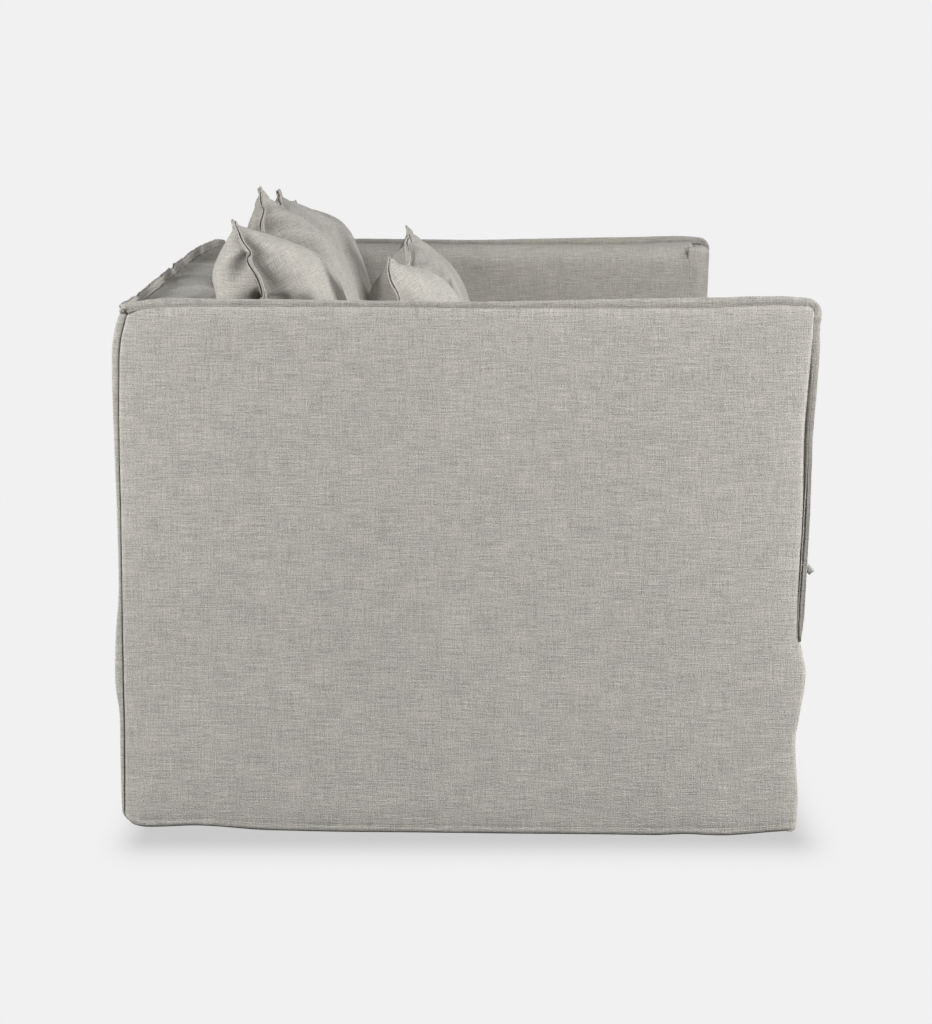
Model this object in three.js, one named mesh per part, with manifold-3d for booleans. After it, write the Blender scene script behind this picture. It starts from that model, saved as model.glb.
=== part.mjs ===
// A slipcovered three-seat sofa with level arms and back, in millimetres.
// X runs along the sofa, -Y is the front, +Z is up, and the origin is on the floor at its middle.
// Right and left are those of a person who sits on it, so the right arm is at -X.
import * as THREE from "three";
import Module from "manifold-3d";

const wasm = await Module();
wasm.setup();

// Whole sofa
const sofaLength = 2200;
const bodyDepth = 960;
const bodyHeight = 739;
const armThickness = 120;
const backThickness = 115;
const touch = 0.3;

// Cover panels, with their lining
const coverThickness = 8;
const coverEdgeDraw = 5;
const coverEdgeRound = 36;
const coverFoldDepth = 2;
const coverFoldWidth = 240;
const frontRake = 22;
const topCornerDraw = 9;
const topCornerRound = 45;
const armFrontThickness = 30;
const armFrontCornerRadius = 26;
const topEdgeRadius = 34;
const rearPuff = 11;
const rearPuffWidth = 70;
const skirtPuff = 12;
const hemRise = 22;
const hemClearance = 4;

// Seam flanges along the outer edges
const flangeHeight = 12;
const flangeReach = 11;
const flangeThickness = 3;
const flangeSetIn = 3;
const flangeCornerRadius = 9;
const flangeNotch = 6;
const backFlangeBow = 14;

// Fabric ties at the arm fronts
const tieLength = 21;
const tieHeight = 14;
const tieThickness = 7;
const tieRise = 95;

// Padding
const armPadThickness = 30;
const backPadThickness = 26;
const topPadThickness = 25;
const deckPadThickness = 44;

// Timber frame
const railThickness = 32;
const railHeight = 115;
const stringerHeight = 80;
const postDepth = 60;
const uprightWidth = 45;
const topRailHeight = 45;
const cornerBlockLeg = 95;
const cornerBlockHeight = 70;

// Legs, webbing and dust cover
const legHeight = 120;
const legTopWidth = 55;
const legFootWidth = 42;
const legInset = 85;
const strapWidth = 70;
const strapThickness = 2.5;
const strapSpacing = 300;
const dustCoverThickness = 2;
const dustCoverLap = 20;

// Loose cushions
const seatCount = 3;
const seatCushionThickness = 142;
const seatCushionCrown = 16;
const seatCushionGap = 7;
const seatCushionEdgeDrop = 10;
const seatCushionCornerRadius = 38;
const seatCushionBandDraw = 5;
const seatCushionFrontInset = 3;
const seatCushionFlatDepth = 540;
const backCushionGap = 19;
const backCushionHeight = 437;
const backCushionTopSag = 14;
const backCushionFront = 118;
const backCushionRear = 100;
const backCushionTipDistance = 32;
const backCushionFootDistance = 165;
const cushionSink = 25;
const scatterWidth = 512;
const scatterHeight = 370;
const scatterTopSag = 12;
const scatterHalfThickness = 86;
const scatterTipDistance = 52;
const scatterFootDistance = 150;
const scatterInset = 130;
const scatterTwist = 12;
const backCushionReach = 213;

// Shapes as shares of the sizes above
const hemShares = [0.35, 0.05, 0.15, 0.1, 0.15, 0.25, 0.4, 0.7, 0.7, 1];
const rearPuffShares = [0, 0, 0.1, 0.55, 0.66, 0.7, 0.72, 0.5, 0.38, 0.6, 0.85, 1, 0.5];
const skirtPuffShares = [0, 0.2, 0, 0.35, 1, 0.4];
const flangeHeightShares = [0.8, 1, 1, 0.9, 0.85, 0.85, 0.85, 1, 1.2, 1.3];
const backFlangeBowShares = [0, 0.6, 0.85, 1, 1, 0.75, 0.4, 0.1, 0, 0, 0];
const tipRiseShares = [
  [0.972, 0.902],
  [1.044, 1],
  [0.992, 0.907],
];
const scatterTipShares = { right: [0.985, 1.015], left: [1, 0.98] };
const scatterTwistShares = { right: -1, left: 0 };
const sideDrawShare = 0.045;
const frontCrownPower = 0.6;
const rearCrownPower = 1;
const softShare = 0.5;
const skirtRowShare = 0.4;

// Counts of facets
const armPanelColumns = 16;
const armPanelRows = 10;
const backPanelColumns = 22;
const backPanelRows = 12;
const skirtColumns = 22;
const skirtRows = 5;
const cushionColumns = 12;
const cushionRows = 10;
const arcSteps = 5;

// Places worked out from the sizes
const halfLength = sofaLength / 2;
const halfDepth = bodyDepth / 2;
const armInner = halfLength - armThickness;
const backFace = halfDepth - backThickness;
const railBottom = legHeight;
const railTop = railBottom + railHeight;
const strapBottom = railTop + touch;
const padBottom = strapBottom + strapThickness + touch;
const deckBottom = padBottom + deckPadThickness + touch;
const deckTop = deckBottom + coverThickness / 2;
const seatBottom = deckTop + touch;
const seatTop = seatBottom + seatCushionThickness;
const skirtFace = -halfDepth + frontRake;
const timberOuter = halfLength - coverThickness - touch;
const timberInner = armInner + coverThickness + armPadThickness + 2 * touch;
const timberRear = halfDepth - coverThickness - touch;
const timberBackFace = backFace + coverThickness + backPadThickness + 2 * touch;
const timberFront = skirtFace + coverThickness + touch;
const timberTop = bodyHeight - coverThickness - topPadThickness - 2 * touch;
const armFrontRear = -halfDepth + armFrontThickness;
const postFront = armFrontRear + touch;
const columnWidth = (2 * armInner) / seatCount;
const pressPlane = backFace - backCushionReach;
const endLegX = timberOuter - legInset - legTopWidth / 2;
const legPlaces = [
  { name: "right", x: -endLegX },
  { name: "middle", x: 0 },
  { name: "left", x: endLegX },
];

// Finishes
const linen = finish(0xb4b1a9, 0.95);
const liningLinen = finish(0xa7a49c, 0.95);
const timber = finish(0xc39a68, 0.7);
const webbing = finish(0x3a3a3c, 0.9);
const foam = finish(0xe9e2c8, 0.95);
const blackCloth = finish(0x26262a, 0.95);
const darkWood = finish(0x3b2a1e, 0.5);

function finish(color, roughness) {
  return new THREE.MeshStandardMaterial({ color, roughness, metalness: 0 });
}

// Value at a place from 0 to 1 along a list of shares, smoothed between its entries.
function along(shares, place) {
  const scaled = Math.min(Math.max(place, 0), 1) * (shares.length - 1);
  const index = Math.min(Math.floor(scaled), shares.length - 2);
  return THREE.MathUtils.lerp(
    shares[index],
    shares[index + 1],
    THREE.MathUtils.smoothstep(scaled - index, 0, 1),
  );
}

// Share from 1 at an edge to 0 at the given distance from it, on a round slope.
function nearEdge(distance, width) {
  const inward = Math.min(Math.max(distance / width, 0), 1);
  return 1 - Math.sqrt(1 - (1 - inward) ** 2);
}

// Front edge of the arms: raked above the seat deck, upright with a soft puff below it.
function frontEdge(height) {
  if (height >= deckTop) return -halfDepth + rakeShift(height);
  return skirtFace - skirtPuff * along(skirtPuffShares, height / deckTop) * softShare;
}

// Shift of the raked front at a height, from its place at the top of the arm.
function rakeShift(height) {
  return (frontRake * (bodyHeight - height)) / (bodyHeight - deckTop);
}

// Lower edge of the cover at a place from the front (0) to the rear (1).
function hemHeight(place) {
  return hemClearance + hemRise * along(hemShares, place);
}

// A closed surface from two grids of points and the bands between their rims.
// Where knife is true the two grids share one rim, as the seam of a pillow does.
function closedForm(columns, rows, front, rear, { knife = false, bands = [] } = {}) {
  const points = [];
  const triangles = [];
  const keep = (point) => points.push(point) - 1;
  const onRim = (i, j) => i === 0 || j === 0 || i === columns || j === rows;
  const place = (i, j) => [(2 * i) / columns - 1, (2 * j) / rows - 1];
  const grid = (shape, rim) => {
    const ids = [];
    for (let i = 0; i <= columns; i += 1) {
      ids.push([]);
      for (let j = 0; j <= rows; j += 1) {
        ids[i].push(rim && onRim(i, j) ? rim[i][j] : keep(shape(...place(i, j))));
      }
    }
    return ids;
  };
  const frontIds = grid(front);
  const rearIds = grid(rear, knife ? frontIds : null);
  const quad = (a, b, c, d) => triangles.push([a, b, c], [a, c, d]);
  for (let i = 0; i < columns; i += 1) {
    for (let j = 0; j < rows; j += 1) {
      const [a, b, c, d] = [[i, j], [i + 1, j], [i + 1, j + 1], [i, j + 1]];
      const cutsCorner = (i === 0 && j === rows - 1) || (i === columns - 1 && j === 0);
      const order = cutsCorner ? [b, c, d, a] : [a, b, c, d];
      quad(...order.map(([across, up]) => frontIds[across][up]));
      const [e, f, g, h] = order.map(([across, up]) => rearIds[across][up]);
      quad(e, h, g, f);
    }
  }
  if (!knife) {
    const loop = rimLoop(columns, rows);
    const rings = [
      loop.map(([i, j]) => frontIds[i][j]),
      ...bands.map((band) => loop.map(([i, j]) => keep(band(...place(i, j))))),
      loop.map(([i, j]) => rearIds[i][j]),
    ];
    for (let ring = 0; ring < rings.length - 1; ring += 1) {
      loop.forEach((_, at) => {
        const next = (at + 1) % loop.length;
        quad(rings[ring][next], rings[ring][at], rings[ring + 1][at], rings[ring + 1][next]);
      });
    }
  }
  return geometryOf(points, triangles);
}

// The grid places round the rim, in order.
function rimLoop(columns, rows) {
  const loop = [];
  for (let i = 0; i < columns; i += 1) loop.push([i, 0]);
  for (let j = 0; j < rows; j += 1) loop.push([columns, j]);
  for (let i = columns; i > 0; i -= 1) loop.push([i, rows]);
  for (let j = rows; j > 0; j -= 1) loop.push([0, j]);
  return loop;
}

// A geometry from points and triangles, turned so that its faces point out.
function geometryOf(points, triangles) {
  const volume = triangles.reduce((sum, [a, b, c]) => {
    const normal = new THREE.Vector3().crossVectors(points[b], points[c]);
    return sum + points[a].dot(normal);
  }, 0);
  const index = triangles.flatMap(([a, b, c]) => (volume > 0 ? [a, b, c] : [a, c, b]));
  const geometry = new THREE.BufferGeometry().setFromPoints(points);
  geometry.setIndex(index);
  geometry.computeVertexNormals();
  return geometry;
}

function outlineShape(outline) {
  return new THREE.Shape(outline.map(([a, b]) => new THREE.Vector2(a, b)));
}

// An outline in Y and Z, run along X between two places.
function prismAlongX(outline, xa, xb) {
  const options = { depth: Math.abs(xb - xa), bevelEnabled: false };
  const geometry = new THREE.ExtrudeGeometry(outlineShape(outline), options);
  const axes = new THREE.Matrix4().makeBasis(
    new THREE.Vector3(0, 1, 0),
    new THREE.Vector3(0, 0, 1),
    new THREE.Vector3(1, 0, 0),
  );
  return geometry.applyMatrix4(axes).translate(Math.min(xa, xb), 0, 0);
}

// An outline in X and Z, run along Y from a front end, which may depend on the height, to a rear end.
function prismAlongY(outline, frontEnd, rearEnd) {
  const geometry = new THREE.ExtrudeGeometry(outlineShape(outline), { depth: 1, bevelEnabled: false });
  const axes = new THREE.Matrix4().makeBasis(
    new THREE.Vector3(1, 0, 0),
    new THREE.Vector3(0, 0, 1),
    new THREE.Vector3(0, -1, 0),
  );
  geometry.applyMatrix4(axes);
  const position = geometry.getAttribute("position");
  for (let i = 0; i < position.count; i += 1) {
    const atRear = position.getY(i) > -1 / 2;
    position.setY(i, atRear ? rearEnd : frontEnd(position.getZ(i)));
  }
  geometry.computeVertexNormals();
  return geometry;
}

// A block between two corners.
function block([xa, ya, za], [xb, yb, zb]) {
  return new THREE.BoxGeometry(Math.abs(xb - xa), Math.abs(yb - ya), Math.abs(zb - za)).translate(
    (xa + xb) / 2,
    (ya + yb) / 2,
    (za + zb) / 2,
  );
}

// Points of a quarter circle from one direction to the next, about a centre.
function arc(centre, radius, startTurn, endTurn) {
  const points = [];
  for (let step = 0; step <= arcSteps; step += 1) {
    const turn = THREE.MathUtils.lerp(startTurn, endTurn, step / arcSteps) * 2 * Math.PI;
    points.push([centre[0] + radius * Math.cos(turn), centre[1] + radius * Math.sin(turn)]);
  }
  return points;
}

// The outline of a layer that comes up one face, rolls over its top edge and runs to the far side.
// toward is the direction in which the face looks, face and top are its outer surfaces.
function rollOver({ toward, face, top, far, foot, thickness, topThickness, radius }) {
  const mirrored = (points) => points.map(([a, b]) => [toward * a, b]);
  const outerFace = toward * face;
  const outer = arc([outerFace - radius, top - radius], radius, 0, 1 / 4);
  const inner = Math.max(radius - Math.max(thickness, topThickness), touch);
  const innerArc = arc(
    [outerFace - thickness - inner, top - topThickness - inner],
    inner,
    1 / 4,
    0,
  );
  return mirrored([
    [outerFace, foot],
    ...outer,
    [toward * far, top],
    [toward * far, top - topThickness],
    ...innerArc,
    [outerFace - thickness, foot],
  ]);
}

const sofa = new THREE.Group();

function add(name, geometry, material, group = sofa) {
  const mesh = new THREE.Mesh(geometry, material);
  mesh.name = name;
  group.add(mesh);
  return mesh;
}

const sides = [
  { name: "right", sign: -1 },
  { name: "left", sign: 1 },
];
const ends = [
  { name: "front", sign: -1, outer: timberFront, inward: 1 },
  { name: "rear", sign: 1, outer: timberRear, inward: -1 },
];
const seats = ["right", "middle", "left"].map((name, index) => ({
  name,
  index,
  centre: (index - (seatCount - 1) / 2) * columnWidth,
}));

buildTimberFrame();
buildLegs();
buildDeck();
buildPadding();
buildArmCovers();
buildBackCovers();
buildFlanges();
buildTies();
buildSeatCushions();
buildBackCushions();
buildScatterCushions();

// The seat rails, the posts and the top rails, which carry everything else.
function buildTimberFrame() {
  const postInner = timberInner - touch;
  for (const { name, outer, inward } of ends) {
    const innerFace = outer + inward * railThickness;
    add(
      name + "_seat_rail",
      block([-postInner, outer, railBottom], [postInner, innerFace, railTop]),
      timber,
    );
    for (const side of sides) {
      const cornerX = side.sign * (timberInner - touch);
      const cornerY = innerFace + inward * touch;
      const wedge = new THREE.ExtrudeGeometry(
        outlineShape([
          [cornerX, cornerY],
          [cornerX - side.sign * cornerBlockLeg, cornerY],
          [cornerX, cornerY + inward * cornerBlockLeg],
        ]),
        { depth: cornerBlockHeight, bevelEnabled: false },
      ).translate(0, 0, railTop - cornerBlockHeight);
      add("corner_block_" + name + "_" + side.name, wedge, timber);
    }
  }
  const rearPostFront = timberRear - postDepth;
  const frontPostRear = timberFront + postDepth;
  const armRailBottom = timberTop - topRailHeight;
  const postTop = armRailBottom - touch;
  const rakedFront = (height) => postFront + rakeShift(height);
  for (const { name, sign } of sides) {
    const outer = sign * timberOuter;
    const inner = sign * timberInner;
    add(
      name + "_side_rail",
      block(
        [inner, frontPostRear + touch, railBottom],
        [inner + sign * railThickness, rearPostFront - touch, railTop],
      ),
      timber,
    );
    const lowFront = Math.max(timberFront, rakedFront(deckTop));
    const frontPost = [
      [timberFront, railBottom],
      [timberFront, deckBottom],
      [lowFront, deckTop],
      [rakedFront(postTop), postTop],
      [frontPostRear, postTop],
      [frontPostRear, railBottom],
    ];
    add(name + "_front_post", prismAlongX(frontPost, outer, inner), timber);
    add(
      name + "_rear_post",
      block([outer, rearPostFront, railBottom], [inner, timberRear, postTop]),
      timber,
    );
    const armRail = [
      [rakedFront(armRailBottom), armRailBottom],
      [timberBackFace - touch, armRailBottom],
      [timberBackFace - touch, timberTop],
      [rakedFront(timberTop), timberTop],
    ];
    add(name + "_arm_top_rail", prismAlongX(armRail, outer, inner), timber);
    const seam = (sign * columnWidth) / 2;
    add(
      name + "_stringer",
      block(
        [seam - railThickness / 2, timberFront + railThickness + touch, railTop - stringerHeight],
        [seam + railThickness / 2, timberRear - railThickness - touch, railTop],
      ),
      timber,
    );
    add(
      name + "_back_upright",
      block(
        [seam - uprightWidth / 2, timberBackFace, railTop + touch],
        [seam + uprightWidth / 2, timberRear, postTop],
      ),
      timber,
    );
  }
  add(
    "back_top_rail",
    block([-timberOuter, timberBackFace, armRailBottom], [timberOuter, timberRear, timberTop]),
    timber,
  );
}

// Six tapered legs under the long rails, set in from the ends so that the skirt hides them.
function buildLegs() {
  const topRadius = legTopWidth / Math.SQRT2;
  const footRadius = legFootWidth / Math.SQRT2;
  for (const { name, outer, inward } of ends) {
    for (const place of legPlaces) {
      const leg = new THREE.CylinderGeometry(topRadius, footRadius, legHeight - touch, 4)
        .rotateY(Math.PI / 4)
        .rotateX(Math.PI / 2)
        .translate(place.x, outer + (inward * legTopWidth) / 2, (legHeight - touch) / 2);
      add(name + "_" + place.name + "_leg", leg, darkWood);
    }
  }
}

// Elastic straps from rail to rail, the foam deck on them, its cloth, and the dust cover below.
function buildDeck() {
  const strapPlaces = seats.flatMap(({ centre }) => [
    centre - strapSpacing / 2,
    centre + strapSpacing / 2,
  ]);
  strapPlaces.forEach((x, index) => {
    add(
      "webbing_strap_" + (index + 1),
      block(
        [x - strapWidth / 2, timberFront, strapBottom],
        [x + strapWidth / 2, timberRear, strapBottom + strapThickness],
      ),
      webbing,
    );
  });
  const deckSide = armInner - touch;
  const deckRear = backFace - touch;
  add(
    "deck_pad",
    block(
      [-deckSide, timberFront, padBottom],
      [deckSide, deckRear, padBottom + deckPadThickness],
    ),
    foam,
  );
  add(
    "deck_cover",
    block([-deckSide, timberFront, deckBottom], [deckSide, deckRear, deckTop]),
    liningLinen,
  );
  const dustTop = railBottom - touch;
  const dustFront = timberFront + dustCoverLap;
  const dustRear = timberRear - dustCoverLap;
  const dustSide = timberInner - touch;
  const dustSheet = solidOf(
    block([-dustSide, dustFront, dustTop - dustCoverThickness], [dustSide, dustRear, dustTop]),
  );
  const notchHalf = legTopWidth / 2 + touch;
  const notches = ends.flatMap(({ outer, inward }) =>
    legPlaces.map(({ x }) =>
      solidOf(
        block(
          [x - notchHalf, outer - inward * touch, 0],
          [x + notchHalf, outer + inward * (legTopWidth + touch), legHeight],
        ),
      ),
    ),
  );
  const cut = notches.reduce((sheet, notch) => sheet.subtract(notch), dustSheet);
  add("dust_cover", geometryFrom(cut), blackCloth);
}

// A closed geometry as a solid that can be cut, and a solid as a geometry.
function solidOf(geometry) {
  const plain = geometry.clone();
  plain.deleteAttribute("normal");
  plain.deleteAttribute("uv");
  const position = plain.getAttribute("position");
  const keys = new Map();
  const vertices = [];
  const source = plain.index ? Array.from(plain.index.array) : [...Array(position.count).keys()];
  const triVerts = source.map((id) => {
    const corner = [position.getX(id), position.getY(id), position.getZ(id)];
    const key = corner.join(" ");
    if (!keys.has(key)) keys.set(key, vertices.push(corner) - 1);
    return keys.get(key);
  });
  return new wasm.Manifold(
    new wasm.Mesh({
      numProp: 3,
      vertProperties: new Float32Array(vertices.flat()),
      triVerts: new Uint32Array(triVerts),
    }),
  );
}

function geometryFrom(solid) {
  const mesh = solid.getMesh();
  const geometry = new THREE.BufferGeometry();
  geometry.setAttribute("position", new THREE.BufferAttribute(mesh.vertProperties, mesh.numProp));
  geometry.setIndex(new THREE.BufferAttribute(mesh.triVerts, 1));
  geometry.computeVertexNormals();
  return geometry;
}

// Foam over the inside and top of each arm and of the back.
function buildPadding() {
  const frontEnd = (height) => armFrontRear + touch + rakeShift(height);
  for (const { name, sign } of sides) {
    const outline = rollOver({
      toward: -sign,
      face: sign * (armInner + coverThickness + touch),
      top: bodyHeight - coverThickness - touch,
      far: sign * timberOuter,
      foot: padBottom,
      thickness: armPadThickness,
      topThickness: topPadThickness,
      radius: topEdgeRadius - coverThickness,
    });
    add(name + "_arm_pad", prismAlongY(outline, frontEnd, backFace - touch), foam);
  }
  const backOutline = rollOver({
    toward: -1,
    face: backFace + coverThickness + touch,
    top: bodyHeight - coverThickness - touch,
    far: timberRear,
    foot: padBottom,
    thickness: backPadThickness,
    topThickness: topPadThickness,
    radius: topEdgeRadius - coverThickness,
  });
  const backPad = prismAlongX(backOutline, -timberOuter, timberOuter);
  add("back_pad", clearOfArmTimber(backPad), foam);
}

// A layer of the back, cut away at both ends where the timber of the arms runs through to the back.
function clearOfArmTimber(geometry) {
  const inner = timberInner - touch;
  const cuts = sides.map(({ sign }) =>
    solidOf(
      block(
        [sign * inner, backFace - touch, 0],
        [sign * sofaLength, halfDepth, timberTop + touch],
      ),
    ),
  );
  return geometryFrom(cuts.reduce((solid, cut) => solid.subtract(cut), solidOf(geometry)));
}

// The cover of each arm: its outer side, its inner side with the top, and its padded front.
function buildArmCovers() {
  const frontEnd = (height) => armFrontRear + touch + rakeShift(height);
  for (const { name, sign } of sides) {
    const panelPoint = (across, up) => {
      const place = (across + 1) / 2;
      const height = panelHeight(hemHeight(place), (up + 1) / 2);
      const fromTop = bodyHeight - height;
      const cornerDraw = topCornerDraw * nearEdge(fromTop, topCornerRound);
      const y = THREE.MathUtils.lerp(frontEdge(height), halfDepth - cornerDraw, place);
      return { y, height, fromTop };
    };
    const outer = (across, up) => {
      const { y, height, fromTop } = panelPoint(across, up);
      const sideDistance = Math.min(y - frontEdge(height), halfDepth - y);
      const draw = coverEdgeDraw * Math.max(
        nearEdge(sideDistance, coverEdgeRound),
        softShare * nearEdge(fromTop, coverEdgeRound),
      );
      const lowness = 1 - height / bodyHeight;
      const wave = (1 + Math.sin((2 * Math.PI * y) / coverFoldWidth)) / 2;
      const x = halfLength - draw - coverFoldDepth * lowness * wave;
      return new THREE.Vector3(sign * x, y, height);
    };
    const inner = (across, up) => {
      const { y, height } = panelPoint(across, up);
      return new THREE.Vector3(sign * (halfLength - coverThickness), y, height);
    };
    add(
      name + "_outside_arm_cover",
      closedForm(armPanelColumns, armPanelRows, outer, inner),
      linen,
    );
    const outline = rollOver({
      toward: -sign,
      face: sign * armInner,
      top: bodyHeight,
      far: sign * timberOuter,
      foot: padBottom,
      thickness: coverThickness,
      topThickness: coverThickness,
      radius: topEdgeRadius,
    });
    add(name + "_inside_arm_cover", prismAlongY(outline, frontEnd, backFace - touch), linen);
    add(name + "_arm_front_cover", armFront(sign), linen);
  }
}

// A height on a side panel: one row of facets lies at the seat deck, where the rake begins.
function panelHeight(foot, share) {
  if (share <= skirtRowShare) return THREE.MathUtils.lerp(foot, deckTop, share / skirtRowShare);
  return THREE.MathUtils.lerp(deckTop, bodyHeight, (share - skirtRowShare) / (1 - skirtRowShare));
}

// The padded front of an arm, with its inner corner rounded, leaning with the rake of the front.
function armFront(sign) {
  const innerX = armInner;
  const cornerCentre = [innerX + armFrontCornerRadius, -halfDepth + armFrontCornerRadius];
  const plan = [
    [timberOuter, armFrontRear],
    [timberOuter, -halfDepth],
    ...arc(cornerCentre, armFrontCornerRadius, 3 / 4, 1 / 2),
    [innerX, armFrontRear],
  ].map(([x, y]) => [sign * x, y]);
  const foot = deckTop + touch;
  const geometry = new THREE.ExtrudeGeometry(outlineShape(plan), {
    depth: bodyHeight - foot,
    bevelEnabled: false,
  }).translate(0, 0, foot);
  const position = geometry.getAttribute("position");
  for (let i = 0; i < position.count; i += 1) {
    position.setY(i, position.getY(i) + rakeShift(position.getZ(i)));
  }
  geometry.computeVertexNormals();
  return geometry;
}

// The cover of the back, inside with the top and outside, and the skirt along the front.
function buildBackCovers() {
  const side = timberOuter;
  const insideOutline = rollOver({
    toward: -1,
    face: backFace,
    top: bodyHeight,
    far: timberRear,
    foot: padBottom,
    thickness: coverThickness,
    topThickness: coverThickness,
    radius: topEdgeRadius,
  });
  add("inside_back_cover", clearOfArmTimber(prismAlongX(insideOutline, -side, side)), linen);

  const rearFoot = hemHeight(1);
  const backPoint = (across, up, y) =>
    new THREE.Vector3(across * side, y, THREE.MathUtils.lerp(rearFoot, bodyHeight, (up + 1) / 2));
  const outer = (across, up) => {
    const point = backPoint(across, up, halfDepth);
    const inFromEnd = 1 - nearEdge(side - Math.abs(point.x), rearPuffWidth);
    point.y += rearPuff * inFromEnd * along(rearPuffShares, (up + 1) / 2);
    return point;
  };
  const inner = (across, up) => backPoint(across, up, halfDepth - coverThickness);
  add(
    "outside_back_cover",
    closedForm(backPanelColumns, backPanelRows, outer, inner),
    linen,
  );

  const skirtFoot = hemHeight(0);
  const skirtPoint = (across, up, y) =>
    new THREE.Vector3(across * side, y, THREE.MathUtils.lerp(skirtFoot, deckTop, (up + 1) / 2));
  const skirtOuter = (across, up) => {
    const point = skirtPoint(across, up, skirtFace);
    const wave = (1 + Math.cos((2 * Math.PI * point.x) / coverFoldWidth)) / 2;
    const puff = THREE.MathUtils.lerp(softShare, 1, wave);
    point.y -= skirtPuff * puff * along(skirtPuffShares, point.z / deckTop);
    return point;
  };
  const skirtInner = (across, up) => skirtPoint(across, up, skirtFace + coverThickness);
  add(
    "front_skirt_cover",
    closedForm(skirtColumns, skirtRows, skirtOuter, skirtInner),
    linen,
  );
}

// The double-thickness seam flanges: down the front and along the top of each arm, and along the back.
function buildFlanges() {
  const outerX = halfLength - flangeSetIn;
  const topFoot = bodyHeight + touch;
  const endY = halfDepth - flangeThickness - topCornerDraw - touch;
  const topEdge = flangeHeightShares.map((share, index) => {
    const place = index / (flangeHeightShares.length - 1);
    const y = THREE.MathUtils.lerp(endY, -halfDepth, place);
    return [y, topFoot + flangeHeight * share];
  });
  const cornerTop = topEdge[topEdge.length - 1][1];
  const corner = arc(
    [-halfDepth - flangeReach + flangeCornerRadius, cornerTop - flangeCornerRadius],
    flangeCornerRadius,
    1 / 4,
    1 / 2,
  );
  const lowEnd = deckTop + touch;
  const armOutline = [
    ...topEdge,
    ...corner,
    [frontEdge(lowEnd + flangeNotch) - flangeReach / 2, lowEnd + flangeNotch],
    [frontEdge(lowEnd) - touch, lowEnd],
    [-halfDepth - touch, topFoot],
    [endY, topFoot],
  ];
  for (const { name, sign } of sides) {
    const flange = prismAlongX(armOutline, sign * outerX, sign * (outerX - flangeThickness));
    add(name + "_arm_flange", flange, linen);
  }
  const reach = outerX - flangeThickness - touch;
  const backTopEdge = backFlangeBowShares.map((share, index) => {
    const place = index / (backFlangeBowShares.length - 1);
    const x = THREE.MathUtils.lerp(reach, -reach, place);
    return [x, topFoot + flangeHeight + backFlangeBow * share];
  });
  const backOutline = [...backTopEdge, [-reach, topFoot], [reach, topFoot]];
  const rearSide = halfDepth - touch;
  add(
    "back_flange",
    prismAlongY(backOutline, () => rearSide - flangeThickness, rearSide),
    linen,
  );
}

// The small knotted fabric ties that close the cover at the outer edge of each arm front.
function buildTies() {
  const height = deckTop + tieRise;
  for (const { name, sign } of sides) {
    const tie = new THREE.SphereGeometry(1, 10, 6)
      .rotateX(Math.PI / 2)
      .scale(tieThickness / 2, tieLength / 2, tieHeight / 2)
      .translate(
        sign * (timberOuter - tieThickness / 2),
        frontEdge(height) - touch - tieLength / 2,
        height,
      );
    add(name + "_cover_tie", tie, linen);
  }
}

// Three boxed seat cushions: crowned in front, pressed flat under the back cushions.
function buildSeatCushions() {
  const halfWidth = (columnWidth - seatCushionGap) / 2;
  const front = skirtFace + seatCushionFrontInset;
  const rear = backFace - touch;
  const flatFrom = rear - seatCushionFlatDepth;
  const planPoint = (u, v) => {
    const cornerIn = seatCushionCornerRadius * (1 - Math.SQRT1_2);
    const pull = cornerIn * (u * v) ** 8;
    const x = u * (halfWidth - pull);
    const middle = (front + rear) / 2;
    const y = middle + v * ((rear - front) / 2 - pull);
    return [x, y];
  };
  for (const { name, centre } of seats) {
    const top = (u, v) => {
      const [x, y] = planPoint(u, v);
      const inFromFront = Math.max((flatFrom - y) / (flatFrom - front), 0);
      const crown = Math.sin(Math.PI * Math.min(inFromFront, 1)) * (1 - u ** 4);
      const drop = Math.max(
        nearEdge(halfWidth - Math.abs(x), seatCushionCornerRadius),
        nearEdge(y - front, seatCushionCornerRadius),
      );
      const z = seatTop + seatCushionCrown * crown - seatCushionEdgeDrop * drop;
      return new THREE.Vector3(centre + x, y, z);
    };
    const bottom = (u, v) => {
      const [x, y] = planPoint(u, v);
      return new THREE.Vector3(centre + x, y, seatBottom);
    };
    const middleHeight = (seatBottom + seatTop - seatCushionEdgeDrop) / 2;
    const band = (u, v) => {
      const [x, y] = planPoint(u, v);
      const inX = x - Math.sign(x) * seatCushionBandDraw * (Math.abs(u) === 1 ? 1 : 0);
      const inY = v === -1 ? y + seatCushionBandDraw : y;
      return new THREE.Vector3(centre + inX, inY, middleHeight);
    };
    add(
      "seat_cushion_" + name,
      closedForm(cushionColumns, cushionRows, top, bottom, { bands: [band] }),
      linen,
    );
  }
}

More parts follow.
